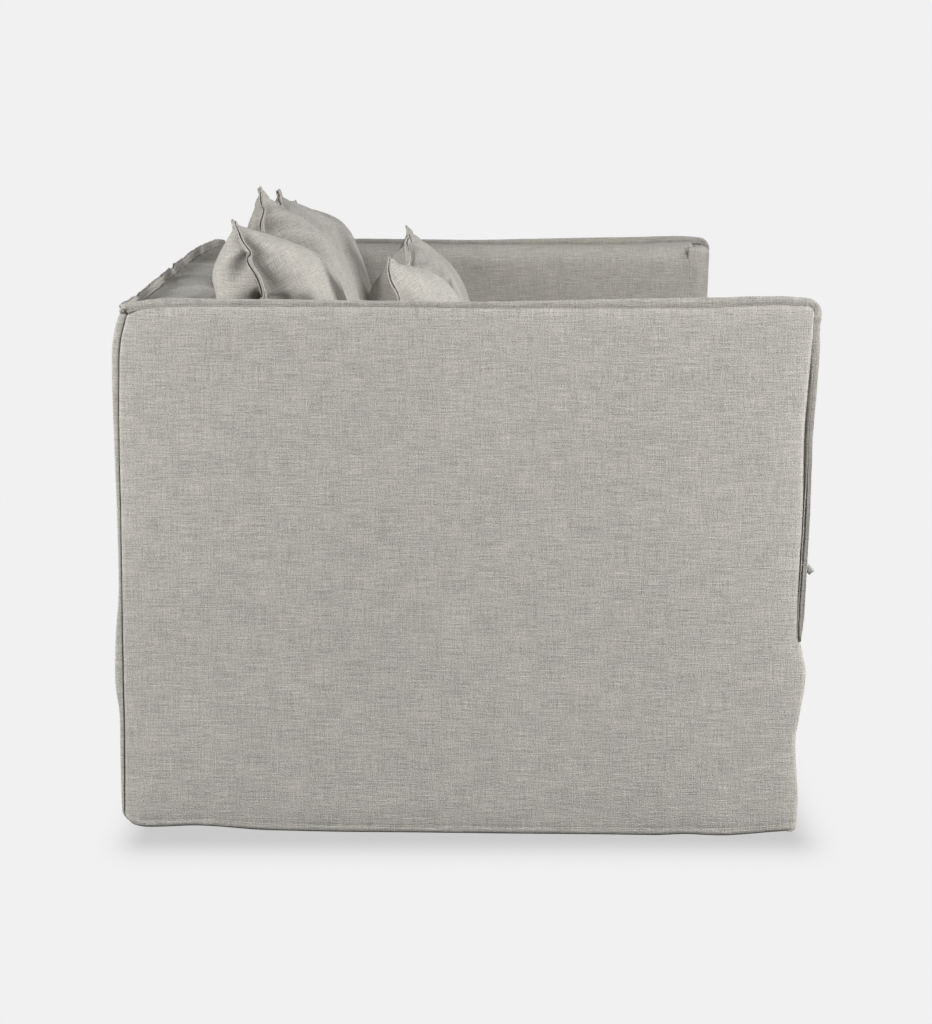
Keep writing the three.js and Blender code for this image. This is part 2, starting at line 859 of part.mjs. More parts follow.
// A knife-edged pillow that stands on the seats: its rim leans, and its two faces bulge from the rim.
function pillow(shape) {
  const { centre, width, tips, topSag, twist, topY, bottomY, nearest, furthest } = shape;
  const eased = (share) => Math.sin((share * Math.PI) / 2);
  const face = (bulge, crownPower) => (columnShare, rowShare) => {
    const u = eased(columnShare);
    const v = eased(rowShare);
    const rise = (v + 1) / 2;
    const tip = THREE.MathUtils.lerp(tips[0], tips[1], (u + 1) / 2);
    const foot = seatTop - cushionSink;
    const x = centre + (width / 2) * u * (1 - sideDrawShare * (1 - v * v));
    const z = foot + rise * (seatTop + tip - foot - topSag * (1 - u * u));
    const lowFullness = v < 0 ? v ** 4 : v * v;
    const swell = ((1 - u ** 4) * (1 - lowFullness)) ** crownPower;
    const y = THREE.MathUtils.lerp(bottomY, topY, rise) + twist * u + bulge * swell;
    return new THREE.Vector3(
      x,
      Math.min(Math.max(y, nearest), furthest),
      Math.max(z, seatTop + touch),
    );
  };
  const front = face(-shape.front, frontCrownPower);
  const rear = face(shape.rear, shape.rearPower);
  return closedForm(cushionColumns, cushionRows, front, rear, { knife: true });
}

function buildBackCushions() {
  for (const { name, centre, index } of seats) {
    const geometry = pillow({
      centre,
      width: columnWidth - backCushionGap,
      tips: tipRiseShares[index].map((share) => share * backCushionHeight),
      topSag: backCushionTopSag,
      twist: 0,
      topY: backFace - backCushionTipDistance,
      bottomY: backFace - backCushionFootDistance,
      front: backCushionFront,
      rear: backCushionRear,
      rearPower: rearCrownPower,
      nearest: pressPlane + touch / 2,
      furthest: backFace - touch,
    });
    add("back_cushion_" + name, geometry, linen);
  }
}

// The two small cushions at the ends stand against the large ones.
function buildScatterCushions() {
  for (const { name, sign } of sides) {
    const geometry = pillow({
      centre: sign * (armInner - scatterInset - scatterWidth / 2),
      width: scatterWidth,
      tips: scatterTipShares[name].map((share) => share * scatterHeight),
      topSag: scatterTopSag,
      twist: scatterTwist * scatterTwistShares[name],
      topY: pressPlane - scatterTipDistance,
      bottomY: pressPlane - scatterFootDistance,
      front: scatterHalfThickness,
      rear: scatterHalfThickness,
      rearPower: frontCrownPower,
      nearest: skirtFace + seatCushionFrontInset,
      furthest: pressPlane - touch / 2,
    });
    add("scatter_cushion_" + name, geometry, linen);
  }
}

export default sofa;
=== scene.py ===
"""Looks of a slipcovered three-seat sofa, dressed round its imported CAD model.

Places are worked out in millimetres and become metres when a mesh is finished. X runs along the sofa, -Y is
the front and +Z is up. Right and left are those of a person who sits on it, so the right arm is at -X.
"""
import math
from bisect import bisect_right

import bmesh
import bpy
from mathutils import Matrix, Vector, noise


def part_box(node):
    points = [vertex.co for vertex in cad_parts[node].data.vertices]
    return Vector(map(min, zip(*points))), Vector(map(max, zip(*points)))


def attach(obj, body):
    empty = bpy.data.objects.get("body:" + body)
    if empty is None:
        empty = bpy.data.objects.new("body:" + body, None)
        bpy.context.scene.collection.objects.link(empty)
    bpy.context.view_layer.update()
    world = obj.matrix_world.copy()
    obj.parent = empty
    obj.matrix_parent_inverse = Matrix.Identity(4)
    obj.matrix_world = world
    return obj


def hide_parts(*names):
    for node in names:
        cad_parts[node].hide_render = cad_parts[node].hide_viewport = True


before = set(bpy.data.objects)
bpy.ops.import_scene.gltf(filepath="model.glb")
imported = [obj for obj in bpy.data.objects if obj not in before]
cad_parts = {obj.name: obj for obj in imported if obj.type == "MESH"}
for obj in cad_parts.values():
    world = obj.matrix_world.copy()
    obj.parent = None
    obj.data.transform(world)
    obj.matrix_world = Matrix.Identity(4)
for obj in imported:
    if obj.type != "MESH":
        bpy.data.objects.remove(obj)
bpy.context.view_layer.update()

MM = 0.001
WEAVE_MAP = "weave"
# Vertex attribute that marks the cushions' creases for painted shade in the linen
CREASE_SHADE_MAP = "fold"
SIDES = {"right": -1, "left": 1}
COLUMNS = {"right": -1, "middle": 0, "left": 1}

# Whole sofa, as in the CAD
HALF_LENGTH = 1100
HALF_DEPTH = 480
BODY_HEIGHT = 739
TIMBER_SIDE = 1091.7
ARM_INNER = 980
BACK_FACE = 365
DECK_TOP = 286.4
SEAT_TOP = 428.7
FRONT_RAKE = 22
COLUMN_WIDTH = 2 * ARM_INNER / 3
PRESS_PLANE = 152
PAD_TOP = 733.5

# Cloth
CLOTH = 1.6
HEM_BAND = 9.5
STITCH_PITCH = 3.7
STITCH_LENGTH = 2.7
STITCH_WIDTH = 0.9


def soft_line(*points):
    """A smooth line through points, as a function of the first number."""
    places = [place for place, _ in points]
    values = [value for _, value in points]
    last = len(points) - 1
    slopes = []
    for index in range(len(points)):
        low, high = max(index - 1, 0), min(index + 1, last)
        slopes.append((values[high] - values[low]) / (places[high] - places[low]))

    def line(at):
        if at <= places[0]:
            return values[0]
        if at >= places[-1]:
            return values[-1]
        index = bisect_right(places, at) - 1
        width = places[index + 1] - places[index]
        t = (at - places[index]) / width
        bend_in = slopes[index] * width
        bend_out = slopes[index + 1] * width
        rise = values[index + 1] - values[index]
        return (
            values[index]
            + t * bend_in
            + t * t * (3 * rise - 2 * bend_in - bend_out)
            + t**3 * (bend_in + bend_out - 2 * rise)
        )

    return line


# Edge lines of an arm's outer panel: depth of its front and rear seams at a height
ARM_FRONT = soft_line(
    (0, -458), (58, -460.5), (117, -457), (141, -457), (166, -461), (227, -470), (262, -465), (287, -459.5),
    (321, -458.5), (382, -460), (447, -463.5), (568, -464.5), (660, -471), (727, -476), (744, -477.5),
)
ARM_REAR = soft_line(
    (0, 481), (199, 480.5), (317, 481), (433, 481.5), (548, 482.5), (636, 481.5), (692, 479), (728, 470.5),
    (740, 467),
)
# Height of its hem and of its top seam at a depth
HEM = soft_line(
    (-470, 9), (-456, 9), (-363, 2), (-301, 4), (-262, 2.5), (-128, 4), (277, 9.5), (375, 16.5), (431, 15),
    (457, 15.5), (481, 23),
)
TOP_SEAM = soft_line(
    (-480, 742.5), (-434, 744.5), (-394, 743.5), (-318, 740.5), (-43, 740.5), (93, 742), (387, 742.5),
    (436, 740.5), (469, 734.5),
)
# Rise of the back's top seam along the sofa
BACK_BOW = soft_line(
    (-1100, -3), (-995, -5), (-820, -5), (-500, 1), (-30, 9), (330, 13), (880, 8), (1100, -1)
)
BACK_SEAM = 477


def mix(low, high, share):
    return low + (high - low) * share


def ease(share):
    share = min(max(share, 0), 1)
    return share * share * (3 - 2 * share)


def bell(offset, width):
    """1 on a line, fading to 0 at both sides of it."""
    return math.exp(-((offset / width) ** 2))


def fade(distance, length):
    """1 at an edge, and about a third of it after each length."""
    return math.exp(-distance / length)


def edge_round(distance, width):
    """1 at an edge, falling to 0 at a distance from it, on a round slope."""
    inward = min(max(distance / width, 0), 1)
    return 1 - math.sqrt(1 - (1 - inward) ** 2)


def soft_limit(value, limit, softness):
    """The value, held softly below a limit."""
    room = (limit - value) / softness
    if room > 20:
        return value
    return limit - softness * math.log1p(math.exp(room))


def corner_cut(first, second, radius):
    """Distances from two edges that meet square, drawn in so that their corner is round."""
    if first >= radius or second >= radius:
        return first, second
    in_first, in_second = radius - first, radius - second
    shrink = max(in_first, in_second) / max(math.hypot(in_first, in_second), 1e-6)
    return radius - in_first * shrink, radius - in_second * shrink


def tucked(share, count):
    """Sets a grid's outermost lines apart as seam allowance: the share without them, and 1 on them."""
    index = round(share * count)
    return min(max((index - 1) / (count - 2), 0), 1), int(index in (0, count))


def ripple(x, y, length, seed):
    """Soft noise from about -1 to 1, whose waves are about that long."""
    return noise.noise(Vector((x / length, y / length, seed)))


def hem_row(foot, top, up, share, band):
    """Height of a grid's row: the lowest share of the rows lies close together, in the hem's band."""
    if up < share:
        return foot + band * up / share
    return mix(foot + band, top, (up - share) / (1 - share))


# Shader nodes
class Value:
    """A socket of a node tree. Python operators on it add Math nodes."""

    def __init__(self, shader, socket):
        self.shader = shader
        self.socket = socket

    def math(self, operation, first, second):
        return self.shader.node("Math", {"operation": operation}, {0: first, 1: second})

    def __add__(self, other):
        return self.math("ADD", self, other)

    def __radd__(self, other):
        return self.math("ADD", other, self)

    def __sub__(self, other):
        return self.math("SUBTRACT", self, other)

    def __rsub__(self, other):
        return self.math("SUBTRACT", other, self)

    def __mul__(self, other):
        return self.math("MULTIPLY", self, other)

    def __rmul__(self, other):
        return self.math("MULTIPLY", other, self)

    def __pow__(self, other):
        return self.math("POWER", self, other)

    def between(self, low, high):
        """0 below low, 1 above high, and a straight ramp between them."""
        inputs = {"Value": self, "From Min": low, "From Max": high}
        return self.shader.node("MapRange", {}, inputs)


class Shader:
    """The node tree of a material or a world."""

    def __init__(self, owner):
        self.owner = owner
        owner.use_nodes = True
        self.tree = owner.node_tree
        self.tree.nodes.clear()

    def node(self, kind, settings, inputs, output=0):
        made = self.tree.nodes.new("ShaderNode" + kind)
        for key, value in settings.items():
            setattr(made, key, value)
        for key, value in inputs.items():
            if isinstance(value, Value):
                self.tree.links.new(value.socket, made.inputs[key])
            else:
                made.inputs[key].default_value = value
        return Value(self, made.outputs[output]) if made.outputs else None

    def stretched_noise(self, place, lengths, detail, dimensions="3D"):
        """Noise whose spots have these lengths, in metres, along the axes of place."""
        scales = tuple(1 / length if length else 0 for length in lengths)
        scaled = self.node("VectorMath", {"operation": "MULTIPLY"}, {0: place, 1: scales})
        inputs = {"Vector": scaled, "Scale": 1.0, "Detail": detail}
        return self.node("TexNoise", {"noise_dimensions": dimensions}, inputs)

    def blend(self, factor, first, second):
        """A colour between two colours."""
        return self.node("Mix", {"data_type": "RGBA"}, {0: factor, 6: first, 7: second}, 2)

    def scaled(self, color, strength):
        return self.node("VectorMath", {"operation": "SCALE"}, {0: color, "Scale": strength})

    def bump(self, height, distance, strength):
        inputs = {"Height": height, "Distance": distance, "Strength": strength}
        return self.node("Bump", {}, inputs)

    def surface(self, **inputs):
        named = {key.replace("_", " "): value for key, value in inputs.items()}
        made = self.node("BsdfPrincipled", {}, named)
        self.node("OutputMaterial", {}, {"Surface": made})
        return self.owner


def grey(level):
    return (level, level, level, 1)


# Threads of the linen: length along the weft and the warp in mm, fineness, and share of the tone
WEAVE = {
    "weft": (15, 1.5, 1.0, 0.34),
    "warp": (1.5, 13, 1.0, 0.28),
    "long_weft": (46, 1.8, 0.0, 0.34),
    "long_warp": (1.8, 42, 0.0, 0.25),
    "grain": (1.9, 1.9, 1.0, 0.74),
    "speck": (1.3, 1.3, 0.0, 0.5),
    "cloudy": (42, 30, 3.0, 0.18),
    "broad": (330, 250, 2.0, 0.1),
}
# Slubs: length along the weft and the warp, where in the noise they start and are full, and share of the tone
SLUBS = {"weft": (26, 1.6, 0.66, 0.8, 0.13), "warp": (1.6, 30, 0.69, 0.82, 0.08)}
# How much painted shade darkens the linen in the deepest creases
CREASE_SHADE_DARKENING = 0.45


def linen(name, cool, warm):
    """Slubby linen in a plain weave: short light and dark streaks of thread both ways, and a fine grain.
    Where a cushion's creases are marked, the tone is darkened as painted shade.
    """
    shader = Shader(bpy.data.materials.new(name))
    place = shader.node("UVMap", {"uv_map": WEAVE_MAP}, {})

    def threads(across, up, detail):
        lengths = (across * MM, up * MM, 0)
        return shader.stretched_noise(place, lengths, detail, "2D") - 0.5

    parts = {}
    tone = 1.0
    for part, (across, up, detail, share) in WEAVE.items():
        parts[part] = threads(across, up, detail)
        tone = tone + parts[part] * share
    slubs = {}
    for part, (across, up, start, full, share) in SLUBS.items():
        slubs[part] = (threads(across, up, 0.0) + 0.5).between(start, full)
        tone = tone + slubs[part] * share
    # Painted shade: the tone is darkened where the crease attribute is set
    in_crease_shade = shader.node("Attribute", {"attribute_name": CREASE_SHADE_MAP}, {}, "Fac")
    tone = tone * (1 - in_crease_shade * CREASE_SHADE_DARKENING)
    weft, grain = parts["weft"], parts["grain"]
    warmth = (parts["cloudy"] * 0.5 + weft * 0.6 + grain * 0.8 + 0.5).between(0.1, 0.9)
    color = shader.scaled(shader.blend(warmth, (*cool, 1), (*warm, 1)), tone)
    height = weft + parts["warp"] + grain * 1.2 + parts["speck"] * 0.5 + slubs["weft"] * 0.4
    return shader.surface(
        Base_Color=color,
        Roughness=0.92,
        Sheen_Weight=0.1,
        Sheen_Roughness=0.5,
        Normal=shader.bump(height, 0.0008, 0.5),
    )


def timber(name, light, dark, roughness, along):
    """Sawn or stained wood, its grain along one axis."""
    shader = Shader(bpy.data.materials.new(name))
    place = shader.node("TexCoord", {}, {}, "Object")
    rings = [0.012, 0.012, 0.012]
    rings[along] = 0.35
    pores = [0.0012, 0.0012, 0.0012]
    pores[along] = 0.03
    ring = shader.stretched_noise(place, rings, 4.0)
    pore = shader.stretched_noise(place, pores, 2.0)
    color = shader.blend(ring.between(0.35, 0.65), (*light, 1), (*dark, 1))
    tone = 1.0 - pore.between(0.55, 0.75) * 0.25
    return shader.surface(
        Base_Color=shader.scaled(color, tone),
        Roughness=roughness + pore * 0.2,
        Normal=shader.bump(ring + pore * 0.5, 0.0008, 0.4),
    )


def speckled(name, color, cell, contrast, roughness, depth):
    """Foam, felted cloth or webbing: one colour, grained at the size of its cells or ribs."""
    shader = Shader(bpy.data.materials.new(name))
    place = shader.node("TexCoord", {}, {}, "Object")
    lengths = cell if isinstance(cell, tuple) else (cell, cell, cell)
    grain = shader.stretched_noise(place, lengths, 2.0)
    patch = shader.stretched_noise(place, (0.12, 0.12, 0.12), 2.0)
    tone = 1.0 + (grain - 0.5) * contrast + (patch - 0.5) * (contrast / 2)
    return shader.surface(
        Base_Color=shader.scaled(color, tone),
        Roughness=roughness,
        Normal=shader.bump(grain, depth, 0.6),
    )


def thread(name, color):
    """Sewing thread, twisted from fine strands."""
    shader = Shader(bpy.data.materials.new(name))
    place = shader.node("TexCoord", {}, {}, "Object")
    strands = shader.stretched_noise(place, (0.0004, 0.0004, 0.0004), 1.0)
    return shader.surface(
        Base_Color=shader.scaled(color, 0.85 + strands * 0.3),
        Roughness=0.75,
        Normal=shader.bump(strands, 0.0002, 0.4),
    )


LINEN = linen("linen_warm_grey", (0.413, 0.404, 0.372), (0.428, 0.406, 0.364))
LINING = linen("linen_lining", (0.38, 0.372, 0.344), (0.394, 0.374, 0.335))
THREAD = thread("cream_thread", (0.6, 0.575, 0.51))
FRAME_WOOD = [timber("frame_timber_" + axis, (0.62, 0.42, 0.22), (0.45, 0.27, 0.12), 0.6, index)
              for index, axis in enumerate("xyz")]
LEG_WOOD = timber("dark_leg_wood", (0.075, 0.04, 0.022), (0.035, 0.018, 0.01), 0.38, 2)
FOAM = speckled("cream_foam", (0.78, 0.72, 0.52), 0.0022, 0.35, 0.95, 0.0008)
WEBBING = speckled("elastic_webbing", (0.045, 0.045, 0.05), (0.0016, 0.02, 0.0016), 0.9, 0.8, 0.0006)
BLACK_CLOTH = speckled("black_dust_cloth", (0.022, 0.022, 0.026), 0.003, 0.8, 0.95, 0.0004)


# Mesh kit
def surface(columns, rows, place):
    """A grid bent into shape. place turns shares across and up into a point, its place on the flat cloth and,
    for a piece that is simulated, a mark to find it by afterwards."""
    bm = bmesh.new()
    bmesh.ops.create_grid(bm, x_segments=columns, y_segments=rows, size=0.5)
    weave = bm.loops.layers.uv.new(WEAVE_MAP)
    mark = bm.verts.layers.float_vector.new("mark")
    flat = {}
    for vert in bm.verts:
        point, cloth, *found = place(vert.co.x + 0.5, vert.co.y + 0.5)
        vert.co = point
        flat[vert] = (cloth[0] * MM, cloth[1] * MM)
        if found:
            vert[mark] = found[0]
    for face in bm.faces:
        for loop in face.loops:
            loop[weave].uv = flat[loop.vert]
    return bm


def turned_to(bm, direction):
    """The same faces, turned over if most of them look away from a direction."""
    bm.normal_update()
    total = sum((face.normal * face.calc_area() for face in bm.faces), Vector())
    if total.dot(Vector(direction)) < 0:
        bmesh.ops.reverse_faces(bm, faces=bm.faces[:])
    return bm


def rescale(bm, factor):
    bmesh.ops.scale(bm, vec=(factor, factor, factor), verts=bm.verts[:])


def gather(parts):
    """Several meshes as one."""
    whole = bmesh.new()
    for part in parts:
        mesh = bpy.data.meshes.new("part")
        part.to_mesh(mesh)
        part.free()
        whole.from_mesh(mesh)
        bpy.data.meshes.remove(mesh)
    return whole


def new_object(name, bm, material=None):
    mesh = bpy.data.meshes.new(name)
    bm.to_mesh(mesh)
    bm.free()
    if material:
        mesh.materials.append(material)
    made = bpy.data.objects.new(name, mesh)
    bpy.context.scene.collection.objects.link(made)
    return made


def piece(name, bm, material, body="frame", stands_for=(), thickness=0.0, smooth=True):
    """A finished piece on its body, in place of its CAD nodes."""
    rescale(bm, MM)
    made = new_object(name, bm, material)
    if smooth:
        made.data.shade_smooth()
    if thickness:
        wall = made.modifiers.new("wall", "SOLIDIFY")
        wall.thickness = thickness * MM
        wall.offset = -1
    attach(made, body)
    if stands_for:
        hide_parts(*stands_for)
    return made


def cover(name, bm, node):
    """A linen panel of the slipcover, in place of its CAD solid."""
    made = piece(name, bm, LINEN, stands_for=[node], thickness=CLOTH)


def lengths_along(points):
    lengths = [0.0]
    for first, second in zip(points, points[1:]):
        lengths.append(lengths[-1] + (second - first).length)
    return lengths


def spaced_path(points, step, followers=None):
    """Points about a step apart along a line of points, or followers of the line at the same places."""
    followers = followers or points
    lengths = lengths_along(points)
    count = max(round(lengths[-1] / step), 1)
    found = []
    index = 0
    for number in range(count + 1):
        at = lengths[-1] * number / count
        while index < len(points) - 2 and lengths[index + 1] < at:
            index += 1
        share = (at - lengths[index]) / max(lengths[index + 1] - lengths[index], 1e-9)
        found.append(followers[index].lerp(followers[index + 1], share))
    return found


def directions(points, closed=False):
    """The direction of a line at each of its points."""
    count = len(points)
    found = []
    for index in range(count):
        before = points[index - 1] if closed or index else points[index]
        after = points[(index + 1) % count] if closed or index < count - 1 else points[index]
        found.append((after - before).normalized())
    return found


def strip_section(middle, half, root, lean, waist, shoulder, top):
    """The section of a thin strip that leans as it stands out, as side and out steps."""
    return [
        (middle - half, root),
        (middle - half + lean * 0.4, waist),
        (middle - half * 0.8 + lean, shoulder),
        (middle + lean, top),
        (middle + half * 0.8 + lean, shoulder),
        (middle + half + lean * 0.4, waist),
        (middle + half, root),
    ]


def swept(origins, sides, outs, profile, closed=False):
    """A closed strip along a path. profile gives, for each point, the section's corners as side and out
    steps."""
    count = len(origins)
    steps = count if closed else count - 1
    corners = len(profile(0))
    length = sum((origins[(i + 1) % count] - origins[i]).length for i in range(steps))
    girth = [0.0]
    for first, second in zip(profile(0), profile(0)[1:] + profile(0)[:1]):
        girth.append(girth[-1] + math.dist(first, second))

    def place(across, up):
        corner = round(up * corners)
        at = round(across * steps) % count
        side, out = profile(at)[corner % corners]
        point = origins[at] + sides[at] * side + outs[at] * out
        return point, (across * length, girth[corner])

    bm = surface(steps, corners, place)
    bmesh.ops.remove_doubles(bm, verts=bm.verts[:], dist=1e-4)
    if not closed:
        rims = [edge for edge in bm.edges if edge.is_boundary]
        bmesh.ops.holes_fill(bm, edges=rims, sides=corners)
    bmesh.ops.recalc_face_normals(bm, faces=bm.faces[:])
    return bm


def stitches(name, rows):
    """Rows of stitches. Each row is a path and the direction out of its cloth."""
    stitch = bmesh.new()
    bmesh.ops.create_icosphere(stitch, subdivisions=1, radius=0.5)
    bmesh.ops.scale(stitch, vec=(STITCH_LENGTH, STITCH_WIDTH, STITCH_WIDTH), verts=stitch.verts[:])
    mesh = bpy.data.meshes.new("stitch")
    stitch.to_mesh(mesh)
    stitch.free()
    bm = bmesh.new()
    for points, normal in rows:
        for point, forward in zip(points, directions(points)):
            side = normal.cross(forward).normalized()
            turn = Matrix((forward, side, forward.cross(side))).transposed().to_4x4()
            placed = Matrix.Translation(point) @ turn
            mesh.transform(placed)
            bm.from_mesh(mesh)
            mesh.transform(placed.inverted())
    bpy.data.meshes.remove(mesh)
    piece(name, bm, THREAD)


# Covers
def rake(height):
    """How far the raked front has come back at a height."""
    return FRONT_RAKE * (BODY_HEIGHT - height) / (BODY_HEIGHT - DECK_TOP)


def front_curl(height):
    """How far the front edge of an arm's outer panel curls in over the flange, from 0 to 1."""
    return ease((705 - height) / 60)


TOP_DRAW = 4.2
FRONT_DRAW = 7.4
REAR_DRAW = 8.2
FOOT_DRAW = 4.5
ARM_HEM_ROWS = 26


def panel_frame(across, up):
    """Depth, height and edges on an arm's outer panel, with fine rows at the hem."""
    height = BODY_HEIGHT * up
    for _ in range(3):
        front = ARM_FRONT(height)
        rear = ARM_REAR(height)
        y = mix(front, rear, across)
        foot = HEM(y)
        height = hem_row(foot, TOP_SEAM(y), up, 0.08, ARM_HEM_ROWS)
    return y, height, front, rear, foot


def panel_edges(y, height, front, rear, foot, top):
    """Distances from an arm's outer panel's front, rear, top and foot edges, its corners rounded."""
    from_front, from_top = corner_cut(y - front, top - height, 13)
    from_rear, from_top = corner_cut(rear - y, from_top, 6)
    from_rear, over_edge = corner_cut(from_rear, height - foot, 15)
    from_front, over_edge = corner_cut(from_front, over_edge, 5)
    return from_front, from_rear, from_top, over_edge


def panel_inset(y, height, edges, seed):
    """How far an arm's outer panel lies in from the sofa's end: drawn in at its edges, waved, and hemmed."""
    from_front, from_rear, from_top, over_edge = edges
    draws = (
        (mix(TOP_DRAW, FRONT_DRAW, front_curl(height)), from_front, 50),
        (REAR_DRAW, from_rear, 46),
        (TOP_DRAW, from_top, 34),
        (FOOT_DRAW, over_edge, 55),
    )
    draw = 1.2 + sum((depth * edge_round(gap, width)) ** 3 for depth, gap, width in draws) ** (1 / 3)
    lowness = 1 - height / BODY_HEIGHT
    waves = (
        1.1 * lowness * (1 + math.sin(2 * math.pi * y / 240 + 0.8 * ripple(y, height, 400, seed)))
        + 0.9 * ripple(y, height, 260, seed)
        + 0.6 * ripple(y, height, 90, seed + 5)
        + 0.3 * ripple(y * 0.4, height, 30, seed + 9) * (0.3 + lowness)
    )
    inset = draw + waves * mix(0.1, 1, ease(min(from_top, from_front) / 40))
    pucker = bell(over_edge - HEM_BAND, 8) * ripple(y, 0, 11, seed + 2)
    inset += 0.8 * bell(over_edge - HEM_BAND, 1.6) + 0.5 * pucker
    if over_edge < HEM_BAND:
        inset -= 0.7 * math.sqrt(max(1 - (over_edge / HEM_BAND * 2 - 1) ** 2, 0)) - 0.2
    return max(inset, 0.05)


def outside_arm_cover(side):
    sign = SIDES[side]
    seed = 3.0 + sign
    columns, rows = 210, 156

    def place(across, up):
        across, side_fold = tucked(across, columns)
        up, end_fold = tucked(up, rows)
        y, height, front, rear, foot = panel_frame(across, up)
        top = TOP_SEAM(y)
        edges = panel_edges(y, height, front, rear, foot, top)
        from_front, from_rear, from_top, over_edge = edges
        y = front + from_front if from_front < from_rear else rear - from_rear
        height = top - from_top if height > 400 else foot + over_edge
        allowance = 5 * side_fold + (5 if up > 0.5 else 1.5) * end_fold
        inset = panel_inset(y, height, edges, seed) + allowance
        return Vector((sign * (HALF_LENGTH - inset), y, height)), (y + 40 * sign, height)

    bm = turned_to(surface(columns, rows, place), (sign, 0, 0))
    cover("outside_arm_linen_" + side, bm, side + "_outside_arm_cover")


def hem_stitches(side):
    """The row along the foot of an arm's outer panel."""
    sign = SIDES[side]
    depths = [-452 + number * STITCH_PITCH for number in range(round(926 / STITCH_PITCH))]
    points = [Vector((sign * (HALF_LENGTH - 4.6), y, HEM(y) + HEM_BAND)) for y in depths]
    return points, Vector((sign, 0, 0))


def roll(distance, start, face, top, radius):
    """A profile that runs in from start, rolls over an edge and goes down a face: place, height and
    direction out."""
    flat = abs(start - face) - radius
    inward = 1 if face > start else -1
    turn = math.pi / 2 * radius
    if distance < flat:
        return start + inward * distance, top, (0, 1)
    if distance < flat + turn:
        angle = (distance - flat) / radius
        centre = face - inward * radius
        return (
            centre + inward * radius * math.sin(angle),
            top - radius + radius * math.cos(angle),
            (inward * math.sin(angle), math.cos(angle)),
        )
    return face, top - radius - (distance - flat - turn), (inward, 0)


COVER_FOOT = 250


def inside_arm_cover(side):
    sign = SIDES[side]
    seed = 11.0 + sign
    radius = 34
    profile = TIMBER_SIDE - ARM_INNER - radius + math.pi / 2 * radius + BODY_HEIGHT - radius - COVER_FOOT
    rear = BACK_FACE - 0.5

    def place(across, up):
        distance = up * profile
        x, height, (out_x, out_z) = roll(distance, TIMBER_SIDE + 1, ARM_INNER + 1, BODY_HEIGHT - 1, radius)
        front = -HALF_DEPTH + 30 + rake(height)
        y = mix(front, rear, across)
        seam_rise = (TOP_SEAM(y) - BODY_HEIGHT) * ease(max(1 - distance / 90, 0))
        swell = 2.5 * math.sin(math.pi * min(distance / 112, 1))
        swell += 1.6 * ripple(y, distance, 210, seed) + 0.9 * ripple(y, distance, 70, seed + 3)
        swell += 1.2 * ripple(y, distance * 0.15, 26, seed) * fade(distance, 40)
        swell *= min(ease((y - front) / 26), ease((rear - y) / 10)) * 0.95 + 0.05
        point = Vector((sign * (x + out_x * swell), y, height + out_z * swell + seam_rise))
        return point, (y, distance + 900)

    bm = turned_to(surface(116, 82, place), (-sign, 0, 1))
    cover("inside_arm_linen_" + side, bm, side + "_inside_arm_cover")


FRONT_CORNER = 24
FRONT_CAP = 11


def front_plan(distance, inset):
    """The outline of an arm's padded front, from its outer edge round the inner corner, drawn in by inset."""
    flat = TIMBER_SIDE + 1 - ARM_INNER - FRONT_CORNER
    arc = math.pi / 2 * FRONT_CORNER
    if distance < flat:
        return TIMBER_SIDE + 1 - distance, inset
    if distance < flat + arc:
        angle = (distance - flat) / FRONT_CORNER
        radius = FRONT_CORNER - inset
        return ARM_INNER + FRONT_CORNER - radius * math.sin(angle), FRONT_CORNER - radius * math.cos(angle)
    past = distance - (flat + arc)
    return ARM_INNER + inset + 0.16 * past, FRONT_CORNER + past


def arm_front_cover(side):
    sign = SIDES[side]
    seed = 21.0 + sign
    plan_length = TIMBER_SIDE + 1 - ARM_INNER - FRONT_CORNER + math.pi / 2 * FRONT_CORNER + 18
    foot = DECK_TOP - 9
    upright = BODY_HEIGHT - FRONT_CAP - foot
    arc_up = math.pi / 2 * FRONT_CAP
    over = 30 - FRONT_CAP

    def place(across, up):
        along_plan = across * plan_length
        distance = up * (upright + arc_up + over)
        angle = min(max((distance - upright) / FRONT_CAP, 0), math.pi / 2)
        x, depth = front_plan(along_plan, FRONT_CAP * (1 - math.cos(angle)))
        height = min(foot + distance, BODY_HEIGHT - FRONT_CAP + FRONT_CAP * math.sin(angle))
        if distance >= upright + arc_up:
            depth = mix(depth, 30.5, (distance - upright - arc_up) / over)
            height = BODY_HEIGHT
        below_top = BODY_HEIGHT - height
        relief = 1.8 * math.sin(math.pi * min(max((TIMBER_SIDE - x) / 110, 0), 1)) * ease(below_top / 60)
        relief += 1.1 * ripple(along_plan, height, 60, seed) + 0.5 * ripple(along_plan, height, 22, seed + 4)
        relief += 0.8 * fade(below_top, 60) * ripple(along_plan, height * 0.2, 12, seed + 6)
        y = -HALF_DEPTH + rake(height) + depth - relief * (1 - ease(depth / 26))
        return Vector((sign * x, y, height)), (along_plan + 300, distance)

    bm = turned_to(surface(44, 96, place), (-0.3 * sign, -1, 0))
    cover("arm_front_linen_" + side, bm, side + "_arm_front_cover")


BACK_RADIUS = 40
# Creases across the back's top: spacing and depth in mm, sharpness, and noise seed
BACK_PULLS = ((220, 4.4, 0.2, 32.0), (130, 2.8, 0.17, 33.0), (75, 1.5, 0.2, 34.0))


def back_pulls(x, distance):
    """Depth of the creases that run from the rear seam to the front edge, about twelve along the sofa."""
    bent = x + 0.45 * distance + 0.0012 * distance**2 + 8 * ripple(x, distance, 120, 31.0)
    total = 0
    for spacing, depth, sharpness, seed in BACK_PULLS:
        closeness = 1 - min(abs(ripple(bent, 0, spacing, seed)) / sharpness, 1)
        total += depth * closeness**2.2
    return total


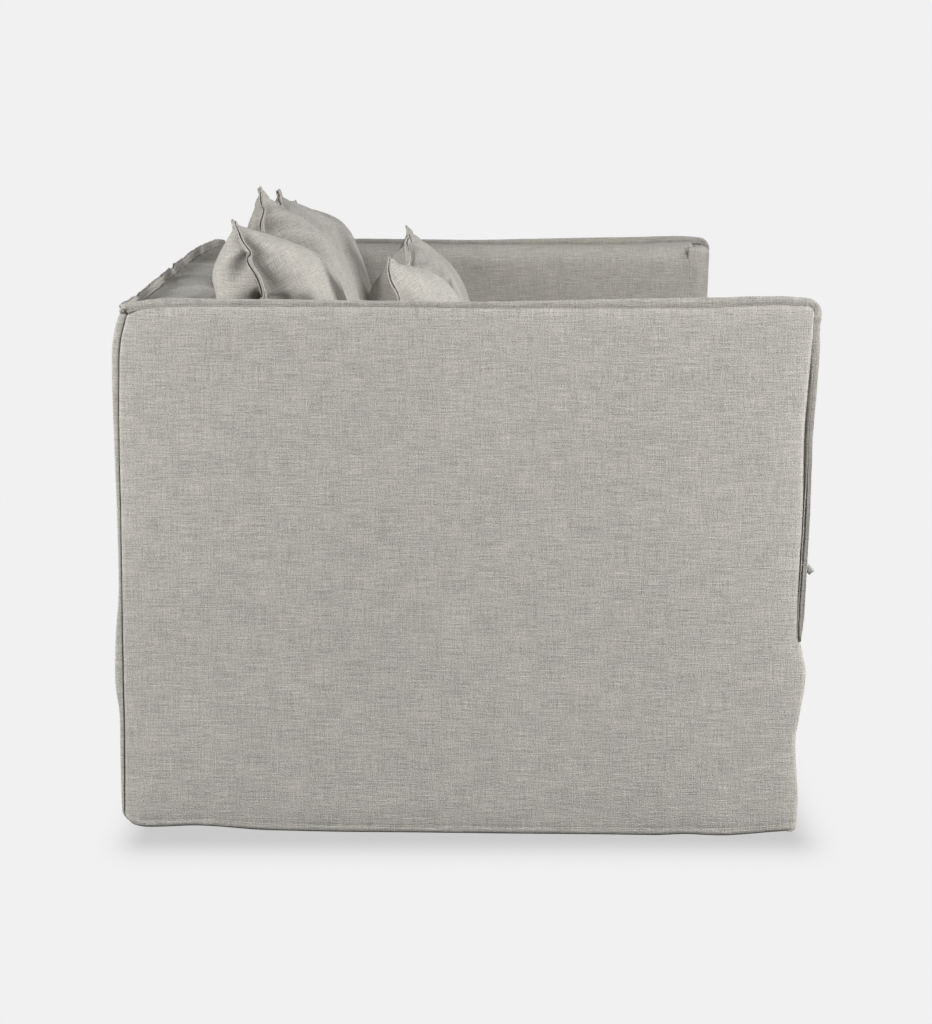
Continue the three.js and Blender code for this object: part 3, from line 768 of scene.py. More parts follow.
def inside_back_cover():
    seed = 31.0
    flat = BACK_SEAM - BACK_FACE - BACK_RADIUS
    bend = math.pi / 2 * BACK_RADIUS
    profile = flat + bend + BODY_HEIGHT - BACK_RADIUS - COVER_FOOT
    columns, rows = 520, 76

    def place(across, up):
        across, _ = tucked(across, columns)
        up, end_fold = tucked(up, rows)
        x = mix(-TIMBER_SIDE, TIMBER_SIDE, across)
        distance = up**1.25 * profile
        y, height, (out_y, out_z) = roll(distance, BACK_SEAM, BACK_FACE + 1.5, BODY_HEIGHT - 1, BACK_RADIUS)
        bow = BACK_BOW(x) * max(1 - distance / (flat + 70), 0)
        on_top = ease(1 - (distance - flat - bend) / 50)
        swell = 7 * math.sin(math.pi * min(distance / 150, 1))
        swell += 1.6 * ripple(x, distance * 0.1, 15, seed + 3) * fade(distance, 14)
        swell += 2.4 * ripple(x, distance * 0.5, 230, seed + 4)
        swell -= back_pulls(x, distance) * fade(max(distance - flat - 20, 0), 110)
        swell *= (ease((TIMBER_SIDE - abs(x)) / 14) * 0.85 + 0.15) * (0.15 + 0.85 * on_top)
        point = Vector((x, y + out_y * swell, height + out_z * swell + bow - 4 * end_fold * (1 - on_top)))
        if distance < flat + bend / 2 and not end_fold:
            point.z = -soft_limit(-point.z, -PAD_TOP, 1.2)
        return point, (x, distance + 400)

    bm = turned_to(surface(columns, rows, place), (0, -1, 1))
    cover("inside_back_linen", bm, "inside_back_cover")


# How far the back's outer cover stands out at a height, seen at the end of the sofa
BACK_PUFF = soft_line(
    (0, -3), (19, 4.3), (32, 7), (108, 9), (174, 9.5), (220, 15), (285, 13.5), (344, 9), (431, 9.5),
    (547, 12.5), (680, 14.5), (720, 8), (739, 0),
)
# Its ends roll in to the rear seam, in this many columns of the grid and from this angle
END_ROLL = 9
ROLL_START = -0.85
FOOT_CORNER = 15
END_INSET = 6
LONG_HEM_ROWS = 22


def rolled_end(in_roll, seam, outer):
    """A place on the rolled end of the back's outer cover: distance along the sofa, depth, and angle."""
    angle = mix(ROLL_START, math.pi / 2, in_roll)
    low_sine = math.sin(ROLL_START)
    tuck = 4 * max(1 - in_roll * END_ROLL, 0)
    x = TIMBER_SIDE + 2 - END_INSET + 4.2 * math.cos(angle) - tuck
    return x, mix(seam, outer, (math.sin(angle) - low_sine) / (1 - low_sine)), angle


def outside_back_cover():
    seed = 41.0
    side = TIMBER_SIDE + 2
    columns, rows = 270, 92

    def place(across, up):
        from_side = min(across, 1 - across) * columns
        sign = 1 if across > 0.5 else -1
        up, end_fold = tucked(up, rows)
        in_roll = min(from_side / END_ROLL, 1)
        inward = (from_side - END_ROLL) / (columns / 2 - END_ROLL)
        x = sign * (side if in_roll < 1 else mix(side - END_INSET, 0, inward))
        foot = 20 + 3 * ripple(x, 0, 260, seed)
        top = BODY_HEIGHT + BACK_BOW(x)
        height = hem_row(foot, top, up, 0.12, LONG_HEM_ROWS)
        below = min(max(HEM(HALF_DEPTH) + FOOT_CORNER - height, 0), FOOT_CORNER)
        drawn_in = FOOT_CORNER - math.sqrt(FOOT_CORNER**2 - below**2)
        seam = ARM_REAR(height) - 0.2 - drawn_in
        if in_roll < 1:
            outer = max(HALF_DEPTH - 3 + BACK_PUFF(height) - drawn_in, seam + 2)
            x, y, angle = rolled_end(in_roll, seam, outer)
            return Vector((sign * x, y, height)), (sign * x + 3000 + sign * 5 * angle, height)
        from_end = side - END_INSET - abs(x)
        puff = BACK_PUFF(height) * (0.62 + 0.38 * fade(from_end, 170))
        fold = 3.4 * ripple(x, height * 0.35, 210, seed + 1) + 1.1 * ripple(x, height, 75, seed + 2)
        y = max(HALF_DEPTH - 3 + puff - drawn_in * bell(from_end, 60), seam + 2)
        y += max(fold, -4) * ease(from_end / 60) * ease((top - height) / 30)
        y -= 0.8 * bell(height - foot - HEM_BAND, 1.8) + 3 * end_fold
        return Vector((x, y, height)), (x + 3000, height)

    bm = turned_to(surface(columns, rows, place), (0, 1, 0))
    cover("outside_back_linen", bm, "outside_back_cover")


SKIRT_PUFF = soft_line((0, 1), (61, 2.5), (119, 0), (167, 3), (226, 12), (262, 8), (286, 0))


def front_skirt():
    seed = 51.0
    side = TIMBER_SIDE + 2
    columns, rows = 300, 48

    def place(across, up):
        across, side_fold = tucked(across, columns)
        up, end_fold = tucked(up, rows)
        x = mix(-side, side, across)
        foot = 9 + 3 * ripple(x, 0, 240, seed)
        height = hem_row(foot, DECK_TOP, up, 0.22, LONG_HEM_ROWS)
        from_end = side - abs(x)
        fold = 3.5 * ripple(x, height * 0.3, 180, seed + 1) + 1.2 * ripple(x, height, 60, seed + 2)
        puff = SKIRT_PUFF(height) * (0.7 + 0.3 * fade(from_end, 120))
        stand_out = (puff + max(fold, -3) * ease((DECK_TOP - height) / 40)) * (1 - edge_round(from_end, 40))
        y = -HALF_DEPTH + FRONT_RAKE + 3 - stand_out
        y += 0.8 * bell(height - foot - HEM_BAND, 1.8) + 7 * side_fold + 3 * end_fold
        return Vector((x, y, height)), (x + 6000, height)

    bm = turned_to(surface(columns, rows, place), (0, -1, 0))
    cover("front_skirt_linen", bm, "front_skirt_cover")


def deck_cover():
    low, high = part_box("deck_cover")
    low, high = low / MM, high / MM

    def place(across, up):
        x = mix(low.x, high.x, across)
        y = mix(low.y, high.y, up)
        wave = 0.8 * ripple(x, y, 160, 61.0) + 0.4 * ripple(x, y, 50, 62.0) - 0.4
        return Vector((x, y, DECK_TOP - 0.6 + wave)), (x, y)

    bm = turned_to(surface(120, 50, place), (0, 0, 1))
    made = piece("deck_lining", bm, LINING, stands_for=["deck_cover"], thickness=1.2)


# Seam flanges
LIP = 1.5
FLANGE_STEP = 3.5
FLANGE_CORNER = 946
# Width, distance in from the sofa's end and lean of an arm's flange, by the distance from its rear end
FLANGE_WIDTH = soft_line(
    (0, 10), (20, 12), (170, 10), (467, 8.3), (620, 11.5), (764, 14), (900, 12), (955, 10), (975, 9.3),
    (1000, 12), (1110, 12), (1243, 9.5), (1293, 10), (1368, 8.5), (1385, 6.5), (1398, 3.5), (1408, 0.8),
)
FLANGE_SET_IN = soft_line((0, 6.9), (900, 6.9), (985, 7.4), (1050, 12.5), (1300, 13), (1398, 11), (1418, 12))
FLANGE_LEAN = soft_line((0, 2.6), (900, 2.8), (990, 3), (1060, 7.5), (1300, 8), (1398, 6), (1418, 2))


def flange_section(width, lean, shift):
    """One layer of a flange, which stands out from its seam."""
    return strip_section(shift, LIP / 2, -2.5, lean, width * 0.5, width - 0.6, width)


def folded_lump(centre, reach, seed):
    """A knot or a fold of cloth, bunched up."""
    lump = bmesh.new()
    bmesh.ops.create_icosphere(lump, subdivisions=3, radius=1)
    weave = lump.loops.layers.uv.new(WEAVE_MAP)
    for vert in lump.verts:
        creases = 0.16 * math.sin(4 * vert.co.z + 3 * vert.co.x + seed)
        fold = 1 + creases + 0.12 * noise.noise(vert.co * 1.4 + centre)
        vert.co = centre + Vector([reach[axis] * vert.co[axis] * fold for axis in range(3)])
    for face in lump.faces:
        for loop in face.loops:
            loop[weave].uv = (loop.vert.co.y * MM, loop.vert.co.z * MM)
    return lump


def flange_path():
    """The seam over an arm's top, round its front corner and down its front, on the plane X = 0."""
    top = [Vector((0, y, TOP_SEAM(y))) for y in range(468, -464, -6)]
    centre, radius = Vector((0, -464.5, 731.5)), 12
    turns = (0.2, 0.5, 0.8, 1.1, 1.4)
    corner = [centre + radius * Vector((0, -math.sin(turn), math.cos(turn))) for turn in turns]
    front = [Vector((0, ARM_FRONT(z), z)) for z in range(726, 274, -6)]
    return spaced_path(top + corner + front, FLANGE_STEP)


def rear_knot(sign):
    """The bunched end of an arm's flange at the rear corner."""
    knot = Vector((sign * (HALF_LENGTH - 7.5), 472.5, 741.5))
    return [
        folded_lump(knot, (4.6, 6, 4.4), 5.0),
        folded_lump(knot + Vector((sign * 0.5, -5.5, 1.5)), (3.6, 4.2, 3.2), 8.0),
        folded_lump(knot + Vector((0, 4.5, -4.5)), (3.8, 3.4, 4), 11.0),
    ]


def arm_flange(side):
    """The doubled seam allowance that stands out along the top and down the front of an arm."""
    sign = SIDES[side]
    seed = 71.0 + sign
    path = flange_path()
    outs = [Vector((0, forward.z, -forward.y)) for forward in directions(path)]
    sides = [Vector((sign, 0, 0)) for _ in path]
    travelled = [FLANGE_STEP * index for index in range(len(path))]

    def at_end(point, set_in):
        return Vector((sign * (HALF_LENGTH - set_in), point.y, point.z))

    origins = [at_end(point, FLANGE_SET_IN(at)) for at, point in zip(travelled, path)]

    def layer(shift, lean, phase):
        def profile(index):
            at = travelled[index]
            wave = 0.7 * ripple(at, 0, 45, seed) + 0.4 * ripple(at, 0, 15, seed + 1)
            wave += 0.2 * ripple(at, 0, 9, seed + phase)
            wave += bell(at - FLANGE_CORNER, 26) * 1.2 * math.sin(at / 2.2)
            width = FLANGE_WIDTH(at) + 0.5 * ripple(at, 0, 30, seed + 2) - (0.7 if phase else 0)
            tilt = FLANGE_LEAN(at)
            if sign > 0:
                tilt *= -2.2 * (1 - front_curl(path[index].z))
            return flange_section(max(width, 0.8), tilt + lean + wave, shift)

        return swept(origins, sides, outs, profile)

    bm = gather([layer(0.6, 0.1, 0), layer(-1.2, 0, 7), *rear_knot(sign)])
    piece("arm_flange_linen_" + side, bm, LINEN, stands_for=[side + "_arm_flange"])
    outer, inner = [], []
    for point, (at, out) in zip(spaced_path(path, STITCH_PITCH), spaced_pairs(travelled, outs, STITCH_PITCH)):
        curl = front_curl(point.z) if at > FLANGE_CORNER else 0
        set_in = FLANGE_SET_IN(at)
        outer.append(at_end(point, set_in - mix(1.7, 2.2, curl)) + out * mix(0.8, 0.2, curl))
        inner.append(at_end(point, set_in + 2.6) + out * 0.8)
    return [(outer, Vector((sign, 0, 0))), (inner, Vector((-sign, 0, 0)))]


def spaced_pairs(travelled, values, step):
    """The distance and the value at points a step apart."""
    count = round(travelled[-1] / step)
    found = []
    for number in range(count + 1):
        at = travelled[-1] * number / count
        found.append((at, values[min(bisect_right(travelled, at), len(values) - 1)]))
    return found


def back_flange():
    """The doubled seam allowance along the top of the back."""
    seed = 81.0
    reach = HALF_LENGTH - 8
    xs = [mix(-reach, reach, index / 500) for index in range(501)]
    origins = [Vector((x, BACK_SEAM + 1, BODY_HEIGHT + BACK_BOW(x))) for x in xs]
    outs = [Vector((-forward.z, 0, forward.x)) for forward in directions(origins)]
    sides = [Vector((0, 1, 0)) for _ in xs]

    def layer(shift, lean, phase):
        def profile(index):
            x = xs[index]
            bend = ripple(x, 0, 90, seed)
            wave = 4.5 * bend * abs(bend) ** 0.3 + 1.8 * ripple(x, 0, 26, seed + phase + 1)
            pinch = max(ripple(x, 0, 130, seed + 9) - 0.25, 0) * 9
            width = 11 - pinch + 2.2 * ripple(x, 0, 55, seed + phase + 2)
            width += 0.8 * ripple(x, 0, 13, seed + phase + 3) - 3 * fade(reach - abs(x), 25)
            return flange_section(width, lean + wave, shift)

        return swept(origins, sides, outs, profile)

    bm = gather([layer(0.9, 0.8, 0), layer(-1.5, -0.6, 5)])
    piece("back_flange_linen", bm, LINEN, stands_for=["back_flange"])
    path = spaced_path(origins, STITCH_PITCH)
    return [
        ([point + Vector((0, shift, 0.8)) for point in path], Vector((0, facing, 0)))
        for facing, shift in ((1, 2.0), (-1, -2.6))
    ]


TIE_WIDTH = 4.2


def cover_tie(side):
    """A short doubled strip of linen, knotted at the front edge of the arm."""
    low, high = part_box(side + "_cover_tie")
    centre = (low + high) / 2 / MM
    root = Vector((centre.x, high.y / MM + 3, centre.z))
    parts = []
    for number, (drop, spread) in enumerate(((-10, 2.2), (-7, -2.2))):
        tip = root + Vector((spread, -17 + 3 * number, drop))
        middle = root.lerp(tip, 0.45) + Vector((0, -2, 5))
        path = spaced_path([root, middle, tip], 2.0)
        sides = [Vector((1, 0, 0)) for _ in path]
        outs = [Vector((0, -forward.z, forward.y)) for forward in directions(path)]

        def profile(index, count=len(path)):
            width = TIE_WIDTH - 1.6 * bell(index / count - 0.25, 0.2)
            return [(-1, -width), (-1, width), (0, width + 0.6), (1, width), (1, -width), (0, -width - 0.6)]

        parts.append(swept(path, sides, outs, profile))
    parts.append(folded_lump(root + Vector((0, -6, 1)), (4.2, 4.6, 5.2), 3.0))
    piece("cover_tie_linen_" + side, gather(parts), LINEN, stands_for=[side + "_cover_tie"])


# Cushions
PILLOW_FRAMES = 34
SEAT_FRAMES = 14
CUSHION_STEP = 9.5
LIP_STEP = 4.5


def inflate(unfilled, frames):
    """Fills the sewn covers by simulation, all at once, and leaves the filled meshes on them."""
    for made in unfilled:
        cloth = made.modifiers.new("filling", "CLOTH")
        settings = cloth.settings
        settings.quality = 5
        settings.mass = 0.2
        settings.air_damping = 1
        settings.tension_stiffness = settings.compression_stiffness = 15
        settings.shear_stiffness = 5
        settings.bending_stiffness = 0.5
        settings.use_pressure = True
        settings.uniform_pressure_force = 4
        settings.effector_weights.gravity = 0
        cloth.collision_settings.use_collision = False
        cloth.point_cache.frame_start = 1
        cloth.point_cache.frame_end = frames
    for number in range(1, frames + 1):
        bpy.context.scene.frame_set(number)
    depsgraph = bpy.context.evaluated_depsgraph_get()
    filled = [bpy.data.meshes.new_from_object(made.evaluated_get(depsgraph)) for made in unfilled]
    for made, mesh in zip(unfilled, filled):
        made.modifiers.clear()
        made.data = mesh
    bpy.context.scene.frame_set(1)


def refined(source):
    """The mesh of a filled cover, subdivided once, as a bmesh in millimetres."""
    finer = source.modifiers.new("finer", "SUBSURF")
    finer.levels = finer.render_levels = 1
    depsgraph = bpy.context.evaluated_depsgraph_get()
    mesh = bpy.data.meshes.new_from_object(source.evaluated_get(depsgraph))
    bm = bmesh.new()
    bm.from_mesh(mesh)
    rescale(bm, 1 / MM)
    bpy.data.objects.remove(source)
    return bm


def smoothed_loop(points, rounds):
    count = len(points)
    for _ in range(rounds):
        points = [(points[i - 1] + points[i] * 2 + points[(i + 1) % count]) / 4 for i in range(count)]
    return points


def lips(rim, inside, look, seed, tips=(), lifts=(), fatter=None):
    """An open seam round a cushion: two lips that stand side by side, with a dark gap between them.
    rim is the seam's closed path, inside the point that each of its points stands out from, and look the
    height, gap and thickness. The lips meet at the corners, tips, and rise there by lifts, a share for each
    lip. fatter tells from -1 to 1 which lip is the wider one at a place."""
    height, gap, thickness = look
    closed = rim + rim[:1]
    path = smoothed_loop(spaced_path(closed, LIP_STEP)[:-1], 2)
    inner = smoothed_loop(spaced_path(closed, LIP_STEP, inside + inside[:1])[:-1], 3)
    along = directions(path, closed=True)
    outs = []
    for point, core, forward in zip(path, inner, along):
        out = (point - core).normalized()
        outs.append(out - forward * out.dot(forward))
    outs = [out.normalized() for out in smoothed_loop(outs, 3)]
    sides = [forward.cross(out).normalized() for forward, out in zip(along, outs)]

    def layer(share, phase):
        def profile(index):
            at = index * LIP_STEP
            place = path[index]
            turn = ripple(at, 0, 95, seed + 7)
            bias = fatter(place) if fatter else 2.4 * turn
            bias = share * min(max(bias, -1), 1)
            open_gap = gap * (1 + 0.3 * ripple(at, 0, 40, seed + 3))
            lift = 1 + 0.3 * bias
            for tip, lift_pair in zip(tips, lifts):
                near = bell((place - tip).length, 9)
                open_gap *= 1 - 0.85 * near
                lift += lift_pair[0 if share < 0 else 1] * near
            half = thickness * (1 + 0.5 * bias) / 2
            wave = 2.0 * turn + 0.8 * ripple(at, 0, 24, seed) + 0.25 * ripple(at, 0, 9, seed + phase)
            top = height * lift + 0.7 * ripple(at, 0, 22, seed + phase + 1)
            return strip_section(share * (open_gap / 2 + half), half, -3, wave, top * 0.45, top * 0.82, top)

        return swept(path, sides, outs, profile, closed=True)

    return gather([layer(1, 5), layer(-1, 9)])


def rim_share(u, v):
    """Place round a rim from 0 to 4, for flat places that run from -1 to 1."""
    if v < -0.9999 and u < 0.9999:
        return (u + 1) / 2
    if u > 0.9999 and v < 0.9999:
        return 1 + (v + 1) / 2
    if v > 0.9999 and u > -0.9999:
        return 2 + (1 - u) / 2
    return 3 + (1 - v) / 2


def pushed_out(u, v):
    """The rim place that a place just inside the rim belongs to."""
    grow = 1 / max(abs(u), abs(v))
    return u * grow, v * grow


def in_fixed_order(bm):
    """The same mesh with its edges and faces in an order that is the same each run, which Solidify's isn't,
    because the simulation follows that order."""
    weave = bm.loops.layers.uv[WEAVE_MAP]
    mark = bm.verts.layers.float_vector["mark"]
    fixed = bmesh.new()
    fixed_weave = fixed.loops.layers.uv.new(WEAVE_MAP)
    fixed_mark = fixed.verts.layers.float_vector.new("mark")
    bm.verts.index_update()
    verts = []
    for vert in bm.verts:
        verts.append(fixed.verts.new(vert.co))
        verts[-1][fixed_mark] = vert[mark]
    rings = []
    for face in bm.faces:
        ring = [(loop.vert.index, loop[weave].uv.copy()) for loop in face.loops]
        first = min(range(len(ring)), key=lambda index: ring[index][0])
        rings.append(ring[first:] + ring[:first])
    rings.sort(key=lambda ring: [index for index, _ in ring])
    for ring in rings:
        face = fixed.faces.new([verts[index] for index, _ in ring])
        for loop, (_, cloth) in zip(face.loops, ring):
            loop[fixed_weave].uv = cloth
    bm.free()
    return fixed


def flat_pillow(name, width, height, seed):
    """Two sheets sewn together at their rims, not yet filled. Each point is marked with its place and its
    sheet."""

    def place(across, up):
        x, y = (across - 0.5) * width, (up - 0.5) * height
        lift = 4 * ripple(x, y, 140, seed)
        return Vector((x, y, lift)), (x + 700 * seed, y), (across * 2 - 1, up * 2 - 1, 0)

    bm = surface(round(width / CUSHION_STEP), round(height / CUSHION_STEP), place)
    front = set(bm.verts)
    bmesh.ops.solidify(bm, geom=bm.faces[:], thickness=6)
    mark = bm.verts.layers.float_vector["mark"]
    for vert in bm.verts:
        u, v, _ = vert[mark]
        vert[mark] = (u, v, 1 if vert in front else -1)
    low = sum(vert.co.z for vert in bm.verts if vert[mark].z < 0)
    high = sum(vert.co.z for vert in bm.verts if vert[mark].z > 0)
    if low > high:
        for vert in bm.verts:
            vert[mark].z = -vert[mark].z
    rescale(bm, MM)
    return new_object(name, in_fixed_order(bm))


def crease_depth(place, crease, spans):
    """Depth of a straight crease, given in flat places, at a flat place."""
    u0, v0, u1, v1, width, depth = crease
    start = Vector((u0 * spans[0], v0 * spans[1]))
    run = Vector((u1 * spans[0], v1 * spans[1])) - start
    offset = Vector((place[0] * spans[0], place[1] * spans[1])) - start
    share = min(max(offset.dot(run) / run.length_squared, 0), 1)
    return depth * bell((offset - run * share).length, width) * (1 - share * share)


# How far a filled cushion swells at a distance from its rim, as a share of its thickest place
FULLNESS = soft_line(
    (0, 0), (12, 0.15), (24, 0.3), (47, 0.51), (71, 0.66), (95, 0.78), (118, 0.87), (142, 0.93), (166, 0.97),
    (230, 1),
)


def pillow_measures(bm, mark):
    """How thick each sheet of a filled pillow stands, and where its four tips are."""
    thickest = {1: 1.0, -1: 1.0}
    corners = {}
    for vert in bm.verts:
        u, v, layer = vert[mark]
        layer = 1 if layer > 0 else -1
        thickest[layer] = max(thickest[layer], abs(vert.co.z))
        if abs(u) > 0.97 and abs(v) > 0.97:
            corners.setdefault((round(u), round(v)), []).append(vert.co.copy())
    tips = {}
    for key, found in corners.items():
        tips[key] = max(found, key=lambda co, key=key: co.x * key[0] + co.y * key[1])
    return thickest, tips


def pillow_relief(place, side, raised, spans, shape, seed):
    """How far a flat place stands forwards when its pillow is filled, how deep a crease is there, and how far
    the crease draws the pillow's end in. raised is its share of the simulated thickness."""
    u, v = place
    gap_x, gap_y = (1 - abs(u)) * spans[0], (1 - abs(v)) * spans[1]
    edge_gap = min(gap_x, gap_y)
    along_rim = v * spans[1] if gap_x < gap_y else u * spans[0]
    bulge = shape["front"] if side > 0 else shape["rear"]
    full = FULLNESS(gap_x) * FULLNESS(gap_y * shape["fatness"])
    depth = side * bulge * mix(raised, full, shape["order"])
    bent = along_rim + 0.25 * edge_gap * (1 if v > 0 else -1)
    gathered = ripple(bent, edge_gap * 0.1, 24, seed) + 0.5 * ripple(bent, edge_gap * 0.1, 12, seed + 1)
    depth += side * 2.4 * gathered * fade(edge_gap, 42) * ease(edge_gap / 9)
    depth += 3.5 * ripple(along_rim, 0, 38, seed + 2) * fade(edge_gap, 30)
    dent = sum(crease_depth(place, crease[1:], spans) for crease in shape["creases"] if crease[0] == side)
    at_end = fade(gap_x, 45)
    return depth - side * dent * (1 - 0.8 * at_end), dent, dent * at_end, edge_gap


def rear_limit(shape, height):
    """How far back a cushion may reach. Above the back's padding it bulges past the back's face."""
    return shape["furthest"] + shape["overhang"] * ease((height - 740) / 35)


def held_in_place(point, shape):
    """A cushion's point, pressed against what the cushion leans on and sits on."""
    point.y = soft_limit(point.y, rear_limit(shape, point.z), 7)
    point.y = -soft_limit(-point.y, -shape["nearest"], 7)
    point.z = -soft_limit(-point.z, -SEAT_TOP - 1.5, 6)
    return point


def centre_of(points):
    return sum(points, Vector()) / len(points)


def pillow_seam(rims, inner, shape, seed):
    """The lips round a pillow, from the points on its rim and just inside, both by their place round it."""
    shares = sorted(rims)
    rim = [centre_of(rims[share]) for share in shares]
    core_shares = sorted(inner)
    cores = [centre_of(inner[share]) for share in core_shares]
    inside = []
    for share in shares:
        index = bisect_right(core_shares, share) % len(cores)
        inside.append(cores[index].lerp(cores[index - 1], 0.5))
    tips = [rim[min(range(len(rim)), key=lambda index, at=at: abs(shares[index] - at))] for at in range(4)]
    seam = lips(rim, inside, shape["lips"], seed, tips, shape["tip_lifts"], shape["fatter"])
    for vert in seam.verts:
        vert.co.y = min(vert.co.y, rear_limit(shape, vert.co.z) + 0.5)
        vert.co.z = max(vert.co.z, SEAT_TOP + 0.6)
    return seam


def stand_pillow(source, shape, name, seed):
    """Puts a filled pillow in its place: tips where they belong, leaning, pressed flat where it touches."""
    bm = refined(source)
    mark = bm.verts.layers.float_vector["mark"]
    # Layer that carries the painted crease shade
    fold = bm.verts.layers.float.new(CREASE_SHADE_MAP)
    thickest, tip_points = pillow_measures(bm, mark)
    half = shape["width"] / 2
    foot, foot_y, top_y, twist = PILLOW_FOOT, shape["foot_y"], shape["top_y"], shape["twist"]
    right_tip, left_tip = (SEAT_TOP + rise for rise in shape["tips"])
    lean = math.atan2(top_y - foot_y, (right_tip + left_tip) / 2 - foot)
    upward = Vector((0, math.sin(lean), math.cos(lean)))
    outward = Vector((0, -math.cos(lean), math.sin(lean)))
    bottom = (tip_points[(-1, -1)].y + tip_points[(1, -1)].y) / 2
    targets = {
        (-1, -1): Vector((-half, foot_y - twist, foot)),
        (1, -1): Vector((half, foot_y + twist, foot)),
        (-1, 1): Vector((-half, top_y - twist, right_tip)),
        (1, 1): Vector((half, top_y + twist, left_tip)),
    }

    def leaned(point, depth):
        return Vector((point.x, foot_y, foot)) + upward * (point.y - bottom) + outward * depth

    offsets = {key: targets[key] - leaned(tip_points[key], 0) for key in targets}
    spans = (
        (tip_points[(1, 1)] - tip_points[(-1, 1)]).length / 2,
        (tip_points[(1, 1)] - tip_points[(1, -1)]).length / 2,
    )
    rims, inner = {}, {}
    for vert in bm.verts:
        u, v, layer = vert[mark]
        side = 1 if layer > 0 else -1
        raised = abs(vert.co.z) / thickest[side]
        depth, dent, end_dent, edge_gap = pillow_relief((u, v), side, raised, spans, shape, seed)
        # How deep the crease is here, which the linen paints as shade
        vert[fold] = min(dent / 11, 1) ** 1.3
        point = leaned(vert.co, depth)
        point.x -= math.copysign(end_dent, u)
        for (cu, cv), offset in offsets.items():
            point += offset * ((1 + cu * u) / 2) * ((1 + cv * v) / 2)
        arch = shape["arch"] * (1 + shape["arch_lean"] * u) * (1 - u * u) ** 0.7
        point += upward * arch * ease((v + 0.4) / 1.2)
        point.y += shape["seam_line"](point.z) * bell((u + 1) * spans[0], 45)
        point.x += shape["centre"]
        vert.co = held_in_place(point, shape)
        if edge_gap < 0.02:
            rims.setdefault(round(rim_share(u, v), 4), []).append(vert.co)
        elif edge_gap < 16:
            inner.setdefault(round(rim_share(*pushed_out(u, v)), 2), []).append(vert.co)
    bmesh.ops.recalc_face_normals(bm, faces=bm.faces[:])
    seam = pillow_seam(rims, inner, shape, seed + 4)
    node = name.replace("_", "_cushion_")
    made = piece(node + "_linen", bm, LINEN, name, stands_for=[node])
    piece(node + "_seam", seam, LINEN, name)


def kinked(place):
    """The near cushion's seam lies back above its kink and forwards below it."""
    return 2 * ease((place.z - 800) / 14) - 1 if place.x < -HALF_LENGTH * 0.8 else 0.5


PILLOW_FOOT = SEAT_TOP - 25
# Share that each lip rises at the four corners: at the foot, and at the far and near top corners
PLAIN_CORNERS = ((-0.6, -0.6),) * 4

# The loose cushions, all with these:
#   tips: height of the right and left top corners over the seat
#   front, rear, fatness, order: swell forwards and back, its spread up and down, and how even it is
#   arch, arch_lean: rise of the top seam between the tips, and how much more of it lies to the left
#   seam_line: how far the right-hand seam wanders forwards or back at a height
#   creases: sheet, from and to in flat places, width and depth
BACK_SHAPE = {
    "width": COLUMN_WIDTH - 19,
    "foot_y": 200,
    "top_y": 328,
    "twist": 0,
    "arch_lean": 0,
    "tip_lifts": PLAIN_CORNERS,
    "overhang": 9,
    "order": 0.8,
    "furthest": BACK_FACE - 1,
    "nearest": PRESS_PLANE + 1,
    "lips": (6, 1.3, 3.1),
    "fill": 0.6,
}
BACK_CUSHIONS = {
    "right": {
        "tips": (421.8, 385),
        "front": 110,
        "rear": 91,
        "fatness": 1.5,
        "arch": 18,
        "fatter": kinked,
        "seam_line": soft_line(
            (600, 0), (700, -6), (748, -7.5), (760, -8.5), (771, -7), (785, -4), (799, -1), (805, -4),
            (812, -11), (820, -7), (831, -2.5), (843, -1.5), (856, 0),
        ),
        "creases": (
            (-1, -0.985, 0.8, -0.85, 0.65, 11, 16),
            (-1, -0.985, 0.9, -0.93, 0.85, 6, 7),
            (-1, -0.98, 0.52, -0.88, 0.46, 12, 9),
            (1, -0.975, 0.86, -0.95, 0.74, 11, 12),
            (1, -0.96, 0.74, -0.94, 0.5, 10, 9),
            (1, -0.965, 0.95, -0.93, 0.88, 8, 6),
            (1, -1.0, 0.62, -0.7, 0.5, 22, 5),
            (-1, -1.0, 0.95, -0.85, 0.8, 8, 5),
        ),
    },
    "middle": {
        "tips": (454, 433),
        "front": 95,
        "rear": 94,
        "fatness": 1.05,
        "arch": 7,
        "fatter": lambda place: -0.35,
        "seam_line": soft_line(
            (600, 4), (700, 11), (780, 17), (824, 15), (831, 12), (843, 6), (852, 2), (858, 4.5), (865, 3.5),
            (875, 0), (888, 0),
        ),
        "creases": (
            (1, -1.0, 0.86, -0.6, 0.8, 12, 7),
            (1, -1.0, 0.74, -0.55, 0.66, 12, 7),
            (1, -1.0, 0.63, -0.6, 0.5, 14, 6),
            (-1, -1.0, 0.7, -0.7, 0.6, 14, 7),
        ),
    },
    "left": {
        "tips": (426, 393),
        "front": 101,
        "rear": 88,
        "fatness": 1.4,
        "arch": 18,
        "fatter": None,
        "seam_line": soft_line((600, 0), (700, 5), (790, 9), (840, 3), (870, 0)),
        "creases": ((1, -1.0, 0.7, -0.6, 0.55, 16, 6), (1, 0.5, 1.0, 0.4, 0.7, 16, 6)),
    },
}
SCATTER_WIDTH = 512
SCATTER_SHAPE = {
    "width": SCATTER_WIDTH,
    "foot_y": 2,
    "top_y": 100,
    "front": 74,
    "rear": 86,
    "overhang": 0,
    "order": 0.75,
    "furthest": PRESS_PLANE - 1,
    "nearest": -440,
    "lips": (6, 1.1, 2.7),
    "fill": 0.55,
}
